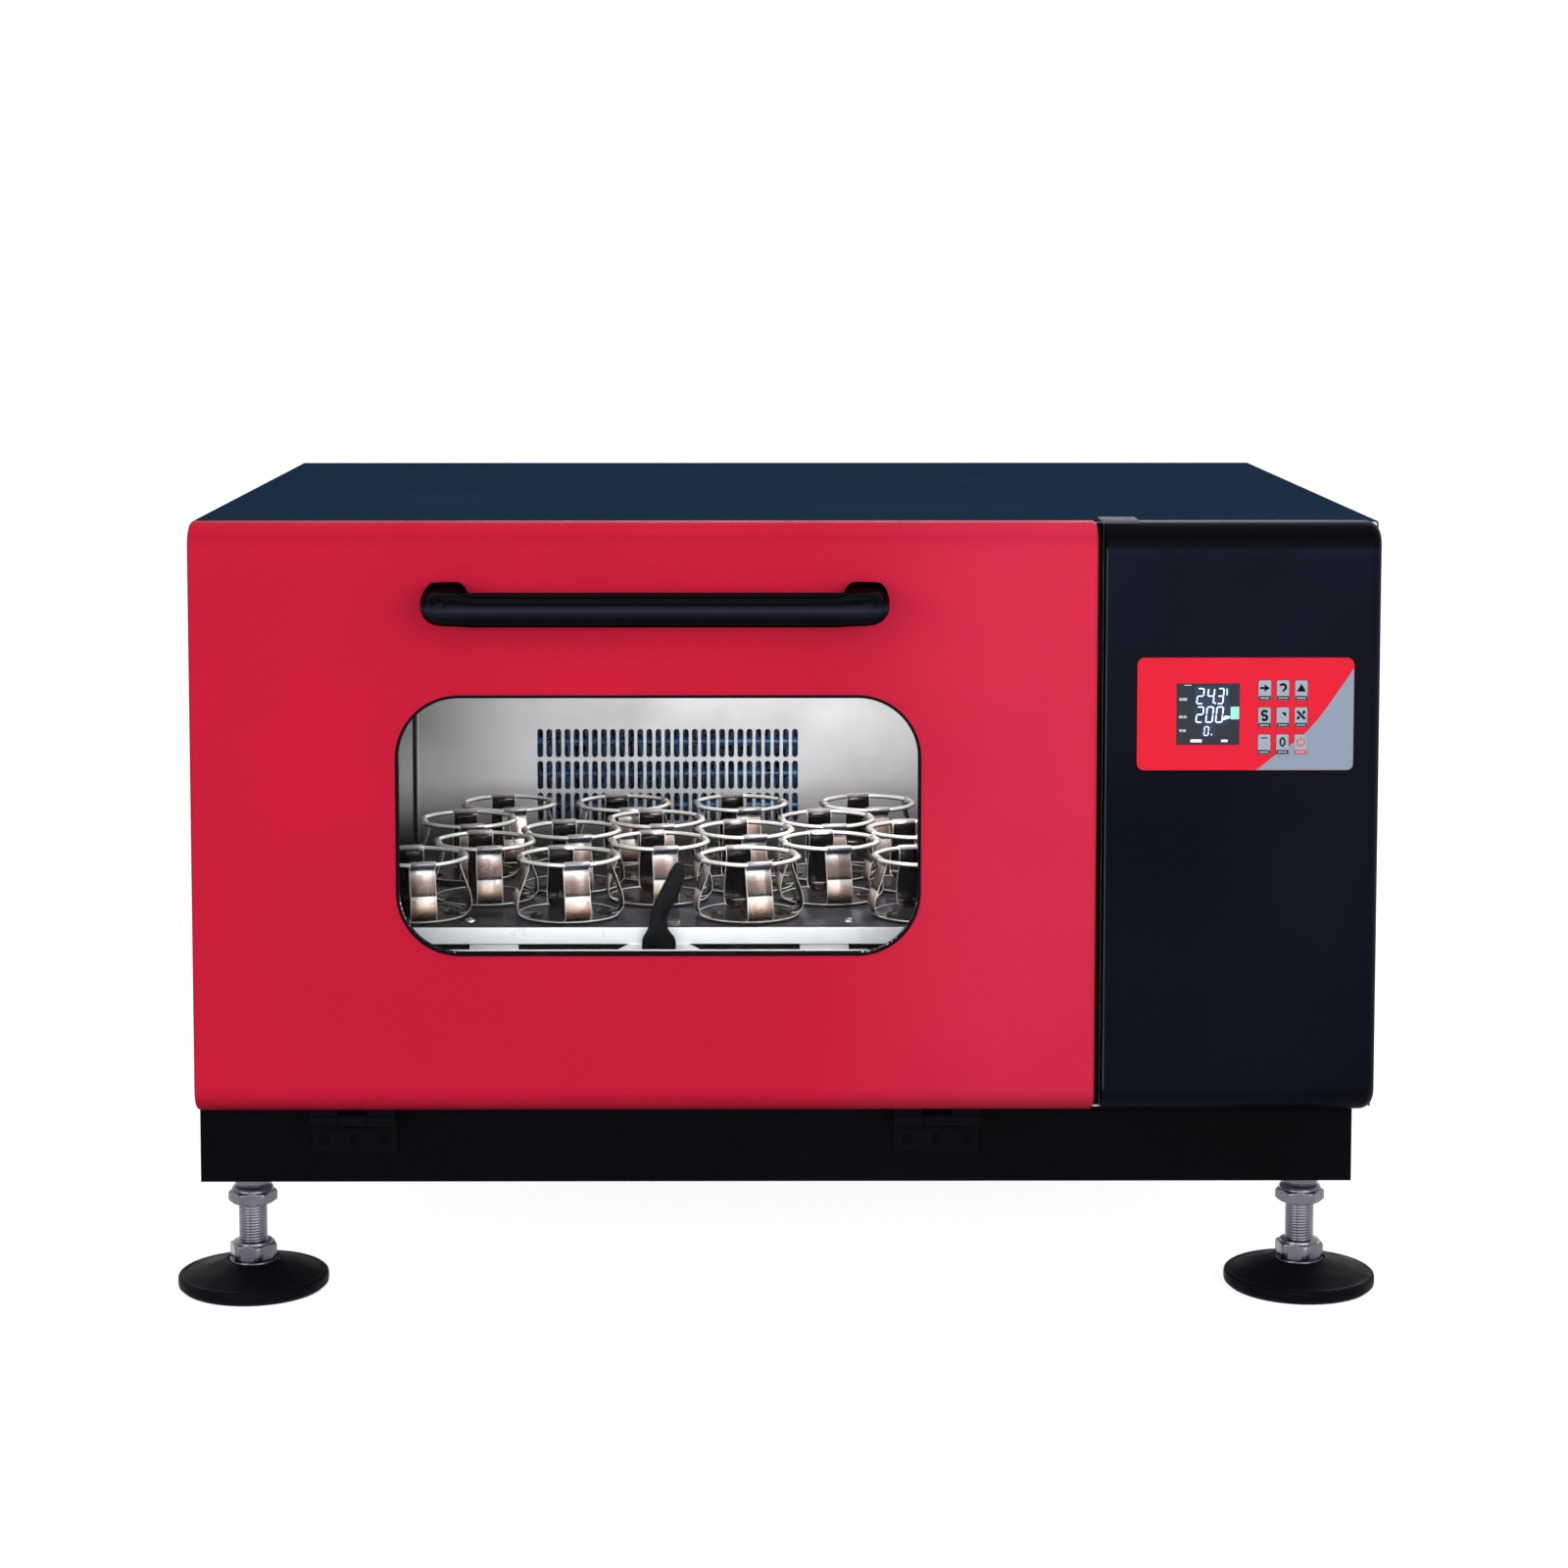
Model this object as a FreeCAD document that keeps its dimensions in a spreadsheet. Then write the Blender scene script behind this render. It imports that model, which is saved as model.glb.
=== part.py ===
"""Incubated benchtop shaker: a heated and cooled chamber with an orbiting flask tray.

Millimetres. +X is the right of someone facing the door, -Y is the front, +Z is up. The origin is on
the bench, under the middle of the whole object. The door hangs on two hinges along its lower edge,
the control column stands to its right, and the shaker drive lies under the chamber floor.
"""
import FreeCAD, Part
import math
import os
import re
import Sketcher

doc = FreeCAD.newDocument("incubated_shaker")

# Driving sizes: alias, value in mm unless the note says otherwise, what it is.
SIZES = (
    ("overrun", 4, "how far every cut runs past what it cuts"),
    ("moving_gap", 0.3, "gap between a moving piece and what it passes"),
    ("bore_gap", 0.05, "radial running clearance of a pin or shaft"),
    ("sheet", 1.5, "thickness of the folded steel and stainless panels"),
    # cabinet
    ("left_reach", 484, "from the middle of the feet to the left side"),
    ("front_reach", 342, "from the middle to the face of the door"),
    ("rear_reach", 402, "from the middle to the back of the power inlet"),
    ("door_width", 746.8, "across the door"),
    ("column_gap", 6.5, "between the door and the control column"),
    ("column_width", 227.2, "across the control column"),
    ("cabinet_height", 492.5, "door and body above the plinth"),
    ("plinth_height", 65.3, "height of the dark plinth"),
    ("foot_height", 104, "from the bench to the plinth"),
    ("door_depth", 24, "thickness of the door at its edge"),
    ("roll_radius", 20, "rolled top and bottom edges of door and column"),
    ("side_roll", 12, "rolled outer side of the column"),
    ("edge_roll", 4, "small rounding of the door's sides"),
    ("seal_thick", 1.7, "door seal"),
    ("shell_corner", 3, "outer bend of the body shell"),
    # plinth and base
    ("plinth_setback", 32, "plinth front behind the door face"),
    ("plinth_tuck", 14, "plinth side inside the column side"),
    ("plinth_rear_tuck", 6, "plinth back inside the inlet's back"),
    ("plinth_wall", 3, "plinth steel"),
    ("pan_thick", 5, "base pan"),
    ("foot_boss_radius", 24, "threaded block for each foot stud"),
    ("foot_boss_height", 22, "threaded block for each foot stud"),
    ("drip_slot_length", 60, "vent slots of the base pan"),
    ("drip_slot_width", 6, "vent slots of the base pan"),
    ("drip_slot_step", 16, "vent slots of the base pan"),
    ("drip_slots", 7, "how many vent slots, a count"),
    # levelling feet
    ("foot_spread", 895.4, "between left and right feet"),
    ("foot_front_set", 49, "front feet behind the plinth front"),
    ("foot_rear_set", 72, "rear feet inside the rear reach"),
    ("pad_radius", 64, "rubber pad"),
    ("pad_rim", 12, "height of the pad's rim"),
    ("pad_rise", 12.5, "height of the pad's cone above the rim"),
    ("pad_neck", 22, "radius of the pad's cone at its top"),
    ("pad_chamfer", 2.5, "bevel of the rim's lower edge"),
    ("stud_radius", 12, "levelling stud"),
    ("stud_rise", 45, "stud above the plinth's underside"),
    ("collar_radius", 21, "turned collar under the hexagon"),
    ("collar_height", 5, "turned collar under the hexagon"),
    ("nut_flats", 36, "across the flats of both hexagons"),
    ("turn_nut_height", 14, "hexagon that turns the stud"),
    ("jam_nut_height", 10, "lock nut"),
    ("jam_collar_radius", 15.5, "collar between the lock nut and the plinth"),
    ("jam_collar_height", 20, "collar between the lock nut and the plinth"),
    # chamber
    ("chamber_inset", 101.5, "chamber inside the body's left side"),
    ("chamber_width", 590, "inside the stainless liner"),
    ("chamber_rise", 92.7, "chamber floor above the body's lower edge"),
    ("chamber_height", 338, "inside the stainless liner"),
    ("duct_depth", 124, "air duct behind the slotted panel"),
    ("foam_left", 1, "foam clear of the shell's left wall"),
    ("foam_right", 57, "foam right of the liner"),
    ("foam_rear", 42, "foam behind the liner"),
    ("rear_space", 55, "room between the foam and the rear panel"),
    ("foam_under", 24, "foam under the liner"),
    ("foam_over", 1, "foam clear of the shell's roof"),
    # slotted duct panel, evaporator and air fan
    ("slot_columns", 29, "slots in each row, a count"),
    ("slot_rows", 3, "rows of slots, a count"),
    ("slot_step", 8.87, "between slot centres"),
    ("slot_width", 5.8, "slot"),
    ("slot_height", 28, "slot"),
    ("slot_row_step", 31.4, "between rows"),
    ("slot_inset", 153.6, "first slot right of the liner's left wall"),
    ("slot_rise", 64, "lowest slots above the chamber floor"),
    ("fan_inset", 282.5, "fan axis right of the liner's left wall"),
    ("fan_rise", 268, "fan axis above the chamber floor"),
    ("intake_radius", 46, "round air intake of the duct panel"),
    ("intake_hub", 14, "solid middle of the intake"),
    ("intake_slots", 12, "radial slots of the intake, a count"),
    ("intake_slot_width", 7, "radial slot"),
    ("fan_radius", 58, "fan wheel"),
    ("fan_depth", 40, "fan wheel along its axis"),
    ("fan_offset", 26, "fan wheel behind the duct panel"),
    ("fan_plate", 2.5, "back plate of the fan wheel"),
    ("fan_hub", 12, "hub radius of the fan wheel"),
    ("fan_blades", 16, "blades, a count"),
    ("blade_thick", 2, "blade"),
    ("blade_chord", 20, "blade along the radius"),
    ("blade_sweep", 35, "blade swept back from the radius, degrees"),
    ("fan_shaft", 4, "radius of the fan motor's shaft"),
    ("fan_motor_radius", 36, "fan motor"),
    ("fin_block_width", 292, "evaporator fins"),
    ("fin_block_depth", 38, "evaporator fins"),
    ("fin_block_height", 118, "evaporator fins"),
    ("fin_step", 5.96, "between fins"),
    ("fin_gap", 4.7, "air between fins"),
    ("fin_root", 7, "depth of the solid back of the fin block"),
    ("fin_lip", 4, "thickness of the two lips that carry the fins"),
    ("coil_setback", 5, "coil tube behind the duct panel"),
    ("coil_radius", 4, "coil tube"),
    ("coil_step", 31.4, "between runs of the coil tube"),
    ("coil_overhang", 6, "run past the fins before the bend"),
    # window
    ("window_inset", 169.1, "window right of the door's left edge"),
    ("window_width", 432.8, "window opening"),
    ("window_rise", 133.6, "window above the door's lower edge"),
    ("window_height", 217.1, "window opening"),
    ("window_radius", 52.7, "window corners"),
    ("gasket_lip", 2.4, "black rubber shown round the pane"),
    ("gasket_proud", 0.6, "rubber proud of the door face"),
    ("gasket_depth", 9, "rubber along the pane's edge"),
    ("gasket_flange", 9, "rubber behind the door skin"),
    ("gasket_flange_thick", 2, "rubber behind the door skin"),
    ("glass_thick", 5, "each pane"),
    ("glass_setback", 1.2, "outer pane behind the door face"),
    ("reveal_margin", 19, "inner window frame outside the opening"),
    # inner door
    ("plug_clear", 6.5, "between the door's plug and the chamber"),
    ("plug_depth", 20, "door plug behind the door's edge"),
    ("plug_radius", 14, "corners of the plug"),
    ("liner_inset", 2, "inner panel inside the door skin's edge"),
    ("glass_lap", 10, "inner pane past its hole"),
    ("seal_width", 12, "door seal"),
    ("seal_margin", 9, "seal outside the chamber's mouth"),
    # handle
    ("handle_inset", 194.3, "handle right of the door's left edge"),
    ("handle_length", 379.5, "handle"),
    ("handle_drop", 68.1, "bar's middle under the door's upper edge"),
    ("handle_reach", 60, "handle in front of the door"),
    ("bar_height", 24.4, "handle bar"),
    ("bar_depth", 20, "handle bar"),
    ("bar_round", 9, "rounding of the bar"),
    ("leg_width", 37, "handle leg"),
    ("leg_height", 30, "handle leg"),
    ("leg_rise", 5, "leg's middle above the bar's"),
    ("leg_round", 11, "rounding of the leg"),
    # door hinges
    ("hinge_drop", 9.3, "hinge axis under the door"),
    ("hinge_setback", 20, "hinge axis behind the door face"),
    ("hinge_apart", 244, "each hinge from the door's middle"),
    ("leaf_width", 72, "hinge leaf"),
    ("leaf_height", 23, "hinge leaf on the plinth"),
    ("leaf_thick", 3, "hinge leaf"),
    ("leaf_drop", 16, "leaf top under the body's lower edge"),
    ("knuckle_radius", 5.5, "hinge knuckle"),
    ("knuckle_length", 24, "middle knuckle"),
    ("knuckle_gap", 0.4, "between knuckles"),
    ("hinge_pin", 2.5, "radius of the hinge pin"),
    ("screw_step", 25, "between the leaf's screws"),
    ("screw_rise", 10.7, "screws above the leaf's lower edge"),
    ("screw_radius", 2.4, "hinge screw"),
    ("screw_head", 4.6, "countersunk head"),
    ("screw_length", 9, "hinge screw"),
    # control panel and keys
    ("panel_inset", 25.7, "panel right of the column's left edge"),
    ("panel_width", 178, "control panel"),
    ("panel_drop", 110.9, "panel under the column's upper edge"),
    ("panel_height", 93.1, "control panel"),
    ("panel_radius", 6, "corners of the control panel"),
    ("panel_thick", 2, "control panel"),
    ("panel_lap", 5, "panel past its hole in the column"),
    ("display_inset", 32.2, "display right of the panel's left edge"),
    ("display_width", 52, "display"),
    ("display_rise", 20.9, "display above the panel's lower edge"),
    ("display_height", 51.1, "display"),
    ("display_sink", 0.4, "display behind the panel face"),
    ("key_width", 10.4, "key"),
    ("key_height", 16.5, "key"),
    ("key_round", 1.2, "corners of a key"),
    ("key_proud", 0.8, "key in front of the panel"),
    ("key_depth", 5.5, "key front to back"),
    ("key_flange", 1.5, "rim that keeps a key in"),
    ("key_flange_thick", 1.2, "rim that keeps a key in"),
    ("key_inset", 104.6, "left column of keys right of the panel's left edge"),
    ("key_step", 15, "between key columns"),
    ("key_rise", 21.5, "lowest keys above the panel's lower edge"),
    ("key_row_step", 22.35, "between key rows"),
    ("key_travel", 0.5, "how far a key goes in"),
    ("switch_size", 6, "switch behind each key"),
    ("switch_height", 1.6, "switch behind each key"),
    ("board_thick", 1.6, "circuit board"),
    ("board_margin", 9, "board past the panel's hole, above and below"),
    ("board_post", 4, "radius of the board's posts"),
    ("tab_width", 35, "bright tab on the column"),
    ("tab_depth", 22, "bright tab on the column"),
    ("tab_thick", 1.5, "bright tab on the column"),
    ("tab_lip", 6, "lip turned down over the column's front edge"),
    ("tab_hole", 1.6, "radius of the tab's hole"),
    ("tab_hole_inset", 24.5, "tab's hole right of its left edge"),
    ("tab_setback", 3, "tab's lip behind the column face"),
    # shaker drive
    ("orbit_radius", 12.5, "half the orbit of 25 mm"),
    ("idler_apart", 190, "each idler from the drive axis"),
    ("shaft_radius", 10, "drive shaft"),
    ("idler_radius", 8, "idler shaft"),
    ("crank_disc", 30, "radius of the crank's disc"),
    ("idler_disc", 25, "radius of an idler's disc"),
    ("disc_lift", 2.5, "discs above the chamber floor"),
    ("disc_thick", 9, "crank and idler discs"),
    ("pin_radius", 7, "eccentric pin"),
    ("pin_rise", 20, "eccentric pin above its disc"),
    ("floor_hole_gap", 4, "floor hole round the shafts"),
    ("housing_flange", 46, "radius of a bearing housing's foot"),
    ("housing_flange_thick", 10, "bearing housing"),
    ("housing_radius", 30, "bearing housing"),
    ("bearing_radius", 20, "outside of a bearing"),
    ("bearing_height", 12, "bearing"),
    ("drive_housing_height", 92, "bearing housing of the drive shaft"),
    ("idler_housing_height", 124, "bearing housing of an idler"),
    ("pulley_lift", 6, "pulley above its bearing housing"),
    ("pulley_height", 22, "both pulleys"),
    ("pulley_flange", 4, "flange of a pulley past the belt's seat"),
    ("pulley_flange_thick", 3, "flange of a pulley"),
    ("drive_pulley_radius", 70, "belt seat of the driven pulley"),
    ("motor_pulley_radius", 28, "belt seat of the motor pulley"),
    ("belt_thick", 4, "drive belt"),
    ("belt_play", 1, "belt narrower than its seat, each side"),
    ("motor_back", 215, "motor behind the drive axis"),
    ("motor_radius", 44, "drive motor"),
    ("motor_rib", 3, "flange and bevel of the drive motor"),
    ("motor_shaft", 7, "radius of the motor's shaft"),
    # carriage and tray
    ("tray_width", 548, "tray"),
    ("tray_front_gap", 55, "tray behind the chamber's mouth"),
    ("tray_rear_gap", 65, "tray in front of the slotted panel"),
    ("tray_rise", 49.3, "tray top above the chamber floor"),
    ("tray_thick", 3, "tray"),
    ("tray_flange", 15.3, "turned down edge of the tray"),
    ("tray_corner", 8, "corners of the tray"),
    ("carriage_lift", 18, "carriage above the chamber floor"),
    ("carriage_thick", 10, "carriage plate"),
    ("carriage_inset", 40, "carriage plate inside the tray's sides"),
    ("carriage_front", 26, "carriage plate behind the tray's front"),
    ("rail_width", 16, "carriage rails under the tray"),
    ("rail_apart", 360, "between the carriage rails"),
    ("arm_width", 42, "light blocks at the carriage's front"),
    ("arm_apart", 281, "between the light blocks"),
    ("arm_height", 15.5, "light blocks at the carriage's front"),
    ("arm_setback", 4, "light blocks behind the tray's front"),
    ("tongue_width", 60, "front tongue that carries the tray lock"),
    ("light_hole", 32, "radius of the carriage's lightening holes"),
    ("light_hole_apart", 92, "lightening holes from the drive axis"),
    # spring flask clamps
    ("clamp_diameter", 92, "clamp base"),
    ("clamp_base_thick", 2, "clamp base"),
    ("clamp_screw_hole", 4, "radius of the hole in the clamp base"),
    ("clamp_turn", 13, "clamps turned on the tray, degrees"),
    ("clamp_leaves", 4, "spring leaves of each clamp, a count"),
    ("clamp_leaf_width", 22, "spring leaf"),
    ("clamp_leaf_thick", 1.2, "spring leaf"),
    ("clamp_foot_radius", 42, "leaf at the base"),
    ("clamp_knee_radius", 43.5, "leaf at its lower bend"),
    ("clamp_knee_height", 9, "leaf at its lower bend"),
    ("clamp_waist_radius", 31.5, "leaf at its narrowest"),
    ("clamp_waist_height", 36, "leaf at its narrowest"),
    ("clamp_neck_radius", 35.4, "leaf beside the ring"),
    ("clamp_neck_height", 50, "leaf beside the ring"),
    ("clamp_tip_radius", 37.8, "leaf tip"),
    ("clamp_tip_height", 56, "leaf tip"),
    ("ring_radius", 41.3, "middle of the spring ring's wire"),
    ("ring_wire", 2, "radius of the spring ring's wire"),
    ("ring_height", 51.2, "spring ring above the tray"),
    ("ring_sides", 16, "straight lengths of the ring, a count"),
    ("wire_sides", 6, "sides of the ring's section, a count"),
    # tray lock
    ("lock_plate_width", 69, "strip with pointed ends"),
    ("lock_plate_height", 9, "strip with pointed ends"),
    ("lock_plate_thick", 3, "strip with pointed ends"),
    ("lock_point", 9, "pointed end of the strip"),
    ("lock_drop", 19.5, "lock pivot under the tray top"),
    ("lever_width", 29, "lock lever"),
    ("lever_height", 50, "lock lever's wide part"),
    ("lever_thick", 4, "lock lever"),
    ("lever_tip_width", 13, "lever arm"),
    ("lever_tip_height", 76, "lever arm above the pivot"),
    ("lever_lean", 16, "lever arm leaning to the right"),
    ("lever_foot", 8, "lever under the pivot"),
    ("lock_pin", 3, "radius of the lock's pivot"),
    # cooling and power
    ("compressor_radius", 72, "compressor"),
    ("compressor_height", 180, "compressor"),
    ("compressor_shoulder", 28, "domed ends of the compressor"),
    ("compressor_dome", 57.6, "radius of the compressor's flat ends"),
    ("compressor_crown", 7, "rise of the compressor's top"),
    ("compressor_foot", 12, "compressor's rubber mounts"),
    ("compressor_back", 300, "compressor behind the door face"),
    ("condenser_depth", 44, "condenser"),
    ("condenser_width", 170, "condenser"),
    ("condenser_height", 200, "condenser"),
    ("condenser_step", 10, "between condenser fins"),
    ("condenser_gap", 6, "air between condenser fins"),
    ("condenser_root", 11, "depth of the solid back of the condenser"),
    ("condenser_rear", 12, "condenser in front of the rear panel"),
    ("rear_panel_sink", 2, "rear panel inside the rear reach"),
    ("louvre_width", 150, "vent slots of the rear panel"),
    ("louvre_height", 6, "vent slots of the rear panel"),
    ("louvre_step", 16, "between vent slots"),
    ("louvres", 11, "vent slots, a count"),
    ("inlet_width", 30, "power inlet's flange"),
    ("inlet_height", 50, "power inlet's flange"),
    ("inlet_body_depth", 26, "power inlet inside the cabinet"),
    ("inlet_body_margin", 3, "inlet body inside its flange"),
    ("inlet_socket_wall", 3.5, "wall round the socket"),
    ("inlet_socket_depth", 18, "socket"),
    ("inlet_side_set", 60, "inlet left of the body's right side"),
    ("inlet_rise", 300, "inlet above the body's lower edge"),
    ("rocker_width", 13, "mains switch"),
    ("rocker_height", 20, "mains switch"),
    ("rocker_depth", 8, "mains switch"),
    ("rocker_waist", 3.2, "outer face of the mains switch at its pivot"),
    ("rocker_well", 12, "well behind the mains switch"),
    ("rocker_body", 16, "switch housing inside the rear panel"),
    ("rocker_tilt", 8, "mains switch at rest, degrees"),
    ("rocker_frame", 4, "frame round the mains switch"),
    ("rocker_apart", 62, "mains switch above the inlet"),
)

# Derived places and sizes: alias, formula, what it is.
PLACES = (
    ("body_left", "-left_reach", "left side of door and body"),
    ("door_right", "body_left + door_width", "right edge of the door"),
    ("column_left", "door_right + column_gap", "left edge of the column"),
    ("body_right", "column_left + column_width", "right side of column and body"),
    ("door_middle", "(body_left + door_right) / 2", "middle of the door"),
    ("door_face", "-front_reach", "face of door and column"),
    ("door_back", "door_face + door_depth", "rear edge of the door skin"),
    ("frame_face", "door_back + seal_thick + moving_gap", "face of the chamber's front frame"),
    ("frame_back", "frame_face + sheet", "back of the front frame"),
    ("panel_back", "rear_reach - rear_panel_sink", "outside of the rear panel"),
    ("body_low", "foot_height + plinth_height", "lower edge of door and body"),
    ("body_high", "body_low + cabinet_height", "roof"),
    ("plinth_left", "body_left", "plinth"),
    ("plinth_right", "body_right - plinth_tuck", "plinth"),
    ("plinth_front", "door_face + plinth_setback", "plinth"),
    ("plinth_rear", "rear_reach - plinth_rear_tuck", "plinth"),
    ("pan_top", "foot_height + pan_thick", "top of the base pan"),
    ("foot_x", "foot_spread / 2", "feet"),
    ("foot_front", "plinth_front + foot_front_set", "front feet"),
    ("foot_rear", "rear_reach - foot_rear_set", "rear feet"),
    ("pad_top", "pad_rim + pad_rise", "top of the rubber pad"),
    ("collar_low", "pad_top - 2 * pad_chamfer", "foot of the collar, in the pad's recess"),
    ("turn_nut_low", "collar_low + collar_height", "hexagon of the stud"),
    ("jam_nut_high", "foot_height - jam_collar_height", "lock nut under its collar"),
    ("liner_left", "body_left + chamber_inset", "inside of the liner"),
    ("liner_right", "liner_left + chamber_width", "inside of the liner"),
    ("liner_floor", "body_low + chamber_rise", "inside of the liner"),
    ("liner_roof", "liner_floor + chamber_height", "inside of the liner"),
    ("liner_rear", "panel_back - 2 * sheet - rear_space - foam_rear", "inside of the liner"),
    ("duct_face", "liner_rear - duct_depth", "front of the slotted panel"),
    ("foam_low", "liner_floor - sheet - foam_under", "underside of the foam"),
    ("slot_left", "liner_left + slot_inset", "left edge of the first slot"),
    ("slot_low", "liner_floor + slot_rise", "lower edge of the lowest slots"),
    ("fan_x", "liner_left + fan_inset", "fan axis"),
    ("fan_z", "liner_floor + fan_rise", "fan axis"),
    ("fan_front", "duct_face + fan_offset", "front of the fan wheel"),
    ("fan_back", "fan_front + fan_depth", "back of the fan wheel"),
    ("slots_middle", "slot_left + (slot_step * (slot_columns - 1) + slot_width) / 2", "slots"),
    ("slots_height", "slot_row_step * (slot_rows - 1) + slot_height", "all slot rows"),
    ("slots_level", "slot_low + slots_height / 2", "middle of the slot rows"),
    ("coil_front", "duct_face + sheet + coil_setback", "front of the coil tube"),
    ("fin_front", "coil_front + 2 * coil_radius + moving_gap", "front of the fins"),
    ("fin_left", "slots_middle - fin_block_width / 2", "fins"),
    ("fin_low", "slots_level - fin_block_height / 2", "fins"),
    ("window_left", "body_left + window_inset", "window opening"),
    ("window_right", "window_left + window_width", "window opening"),
    ("window_low", "body_low + window_rise", "window opening"),
    ("window_high", "window_low + window_height", "window opening"),
    ("plug_left", "liner_left + plug_clear", "door plug"),
    ("plug_right", "liner_right - plug_clear", "door plug"),
    ("plug_low", "liner_floor + plug_clear", "door plug"),
    ("plug_high", "liner_roof - plug_clear", "door plug"),
    ("plug_back", "door_back + plug_depth", "door plug"),
    ("handle_left", "body_left + handle_inset", "handle"),
    ("handle_right", "handle_left + handle_length", "handle"),
    ("bar_middle", "body_high - handle_drop", "handle bar"),
    ("bar_front", "door_face - handle_reach", "handle bar"),
    ("hinge_y", "door_face + hinge_setback", "hinge axis"),
    ("hinge_z", "body_low - hinge_drop", "hinge axis"),
    ("leaf_high", "body_low - leaf_drop", "top of the lower leaf"),
    ("panel_left", "column_left + panel_inset", "control panel"),
    ("panel_right", "panel_left + panel_width", "control panel"),
    ("panel_high", "body_high - panel_drop", "control panel"),
    ("panel_low", "panel_high - panel_height", "control panel"),
    ("panel_face", "door_face - panel_thick", "control panel"),
    ("display_left", "panel_left + display_inset", "display"),
    ("display_low", "panel_low + display_rise", "display"),
    ("key_face", "panel_face - key_proud", "front of the keys"),
    ("key_back", "key_face + key_depth", "back of the keys"),
    ("switch_face", "key_back + key_travel + moving_gap", "front of the switches"),
    ("board_face", "switch_face + switch_height", "front of the board"),
    ("tray_front", "frame_face + tray_front_gap", "tray"),
    ("tray_rear", "duct_face - tray_rear_gap", "tray"),
    ("drive_x", "(liner_left + liner_right) / 2", "drive axis"),
    ("drive_y", "(tray_front + tray_rear) / 2", "drive axis"),
    ("tray_x", "drive_x - orbit_radius", "tray's middle with the crank at rest"),
    ("disc_low", "liner_floor + disc_lift", "crank disc"),
    ("disc_high", "disc_low + disc_thick", "crank disc"),
    ("pin_high", "disc_high + pin_rise", "top of the eccentric pins"),
    ("pulley_low", "pan_top + drive_housing_height + pulley_lift", "both pulleys"),
    ("pulley_high", "pulley_low + pulley_height", "both pulleys"),
    ("motor_y", "drive_y + motor_back", "drive motor"),
    ("tray_left", "tray_x - tray_width / 2", "tray"),
    ("tray_right", "tray_x + tray_width / 2", "tray"),
    ("tray_top", "liner_floor + tray_rise", "tray"),
    ("carriage_low", "liner_floor + carriage_lift", "carriage"),
    ("carriage_high", "carriage_low + carriage_thick", "carriage"),
    ("lock_z", "tray_top - lock_drop", "pivot of the tray lock"),
    ("lock_back", "tray_front", "back of the lock plate"),
    ("lock_front", "lock_back - lock_plate_thick", "front of the lock plate"),
    ("lever_back", "lock_front - moving_gap", "back of the lock lever"),
    ("lever_front", "lever_back - lever_thick", "front of the lock lever"),
    ("compressor_x", "(column_left + body_right) / 2", "compressor"),
    ("compressor_y", "door_face + compressor_back", "compressor"),
    ("inlet_x", "body_right - inlet_side_set", "power inlet"),
    ("inlet_z", "body_low + inlet_rise", "power inlet"),
    ("rocker_z", "inlet_z + rocker_apart", "mains switch"),
)

# Clamp centres on the tray, from its middle, as shares of the clamp's diameter: row by row, each row's
# place front to back and then its places left to right.
CLAMP_ROW_SHARES = (
    (-1.511, (-2.283, -0.859, 0.826, 2.467)),
    (-0.685, (-1.707, -0.033, 1.609)),
    (-0.076, (-0.902, 0.793, 2.467)),
    (0.533, (-1.957, -0.087, 1.609)),
    (1.489, (-1.620, -0.446, 0.750, 2.054)),
)

SIZE_NAMES = {row[0] for row in SIZES}
PLACE_NAMES = {row[0] for row in PLACES}
WORD = re.compile(r"[a-z][a-z0-9_]*")


def with_sheets(text):
    """An expression in plain aliases, with each alias given its sheet's name."""
    def cell(match):
        word = match.group(0)
        if word in SIZE_NAMES:
            return "sizes." + word
        if word in PLACE_NAMES:
            return "places." + word
        return word
    return WORD.sub(cell, text)


def fill_sheet(name, rows, formula):
    """A spreadsheet with the alias, the value and the note of each row."""
    sheet = doc.addObject("Spreadsheet::Sheet", name)
    for line, (alias, content, note) in enumerate(rows, start=1):
        sheet.set("A%d" % line, alias)
        sheet.set("B%d" % line, formula(content))
        sheet.set("C%d" % line, note)
        sheet.setAlias("B%d" % line, alias)
    return sheet


sizes = fill_sheet("sizes", SIZES, str)
places = fill_sheet("places", PLACES, lambda text: "=" + with_sheets(text).replace("places.", ""))
doc.recompute()


def number(text):
    """What an expression in aliases gives now."""
    return float(sizes.evalExpression(with_sheets(text)))


def bind(thing, path, text):
    """Tie one property of an object to an expression in aliases."""
    thing.setExpression(path, with_sheets(text))


def fix(sketch, kind, geometry, point, text):
    """Hold one coordinate of a sketch point at an expression."""
    held = Sketcher.Constraint(kind, -1, 1, geometry, point, number(text))
    bind(sketch, "Constraints[%d]" % sketch.addConstraint(held), text)


def fix_radius(sketch, geometry, text):
    """Hold the radius of a circle or arc at an expression."""
    held = Sketcher.Constraint("Radius", geometry, number(text))
    bind(sketch, "Constraints[%d]" % sketch.addConstraint(held), text)


def circle(across, up, radius):
    """A closed circle, for the draw functions below."""
    def draw(sketch):
        centre = FreeCAD.Vector(number(across), number(up), 0)
        index = sketch.addGeometry(Part.Circle(centre, FreeCAD.Vector(0, 0, 1), number(radius)), False)
        fix(sketch, "DistanceX", index, 3, across)
        fix(sketch, "DistanceY", index, 3, up)
        fix_radius(sketch, index, radius)
    return draw


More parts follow.
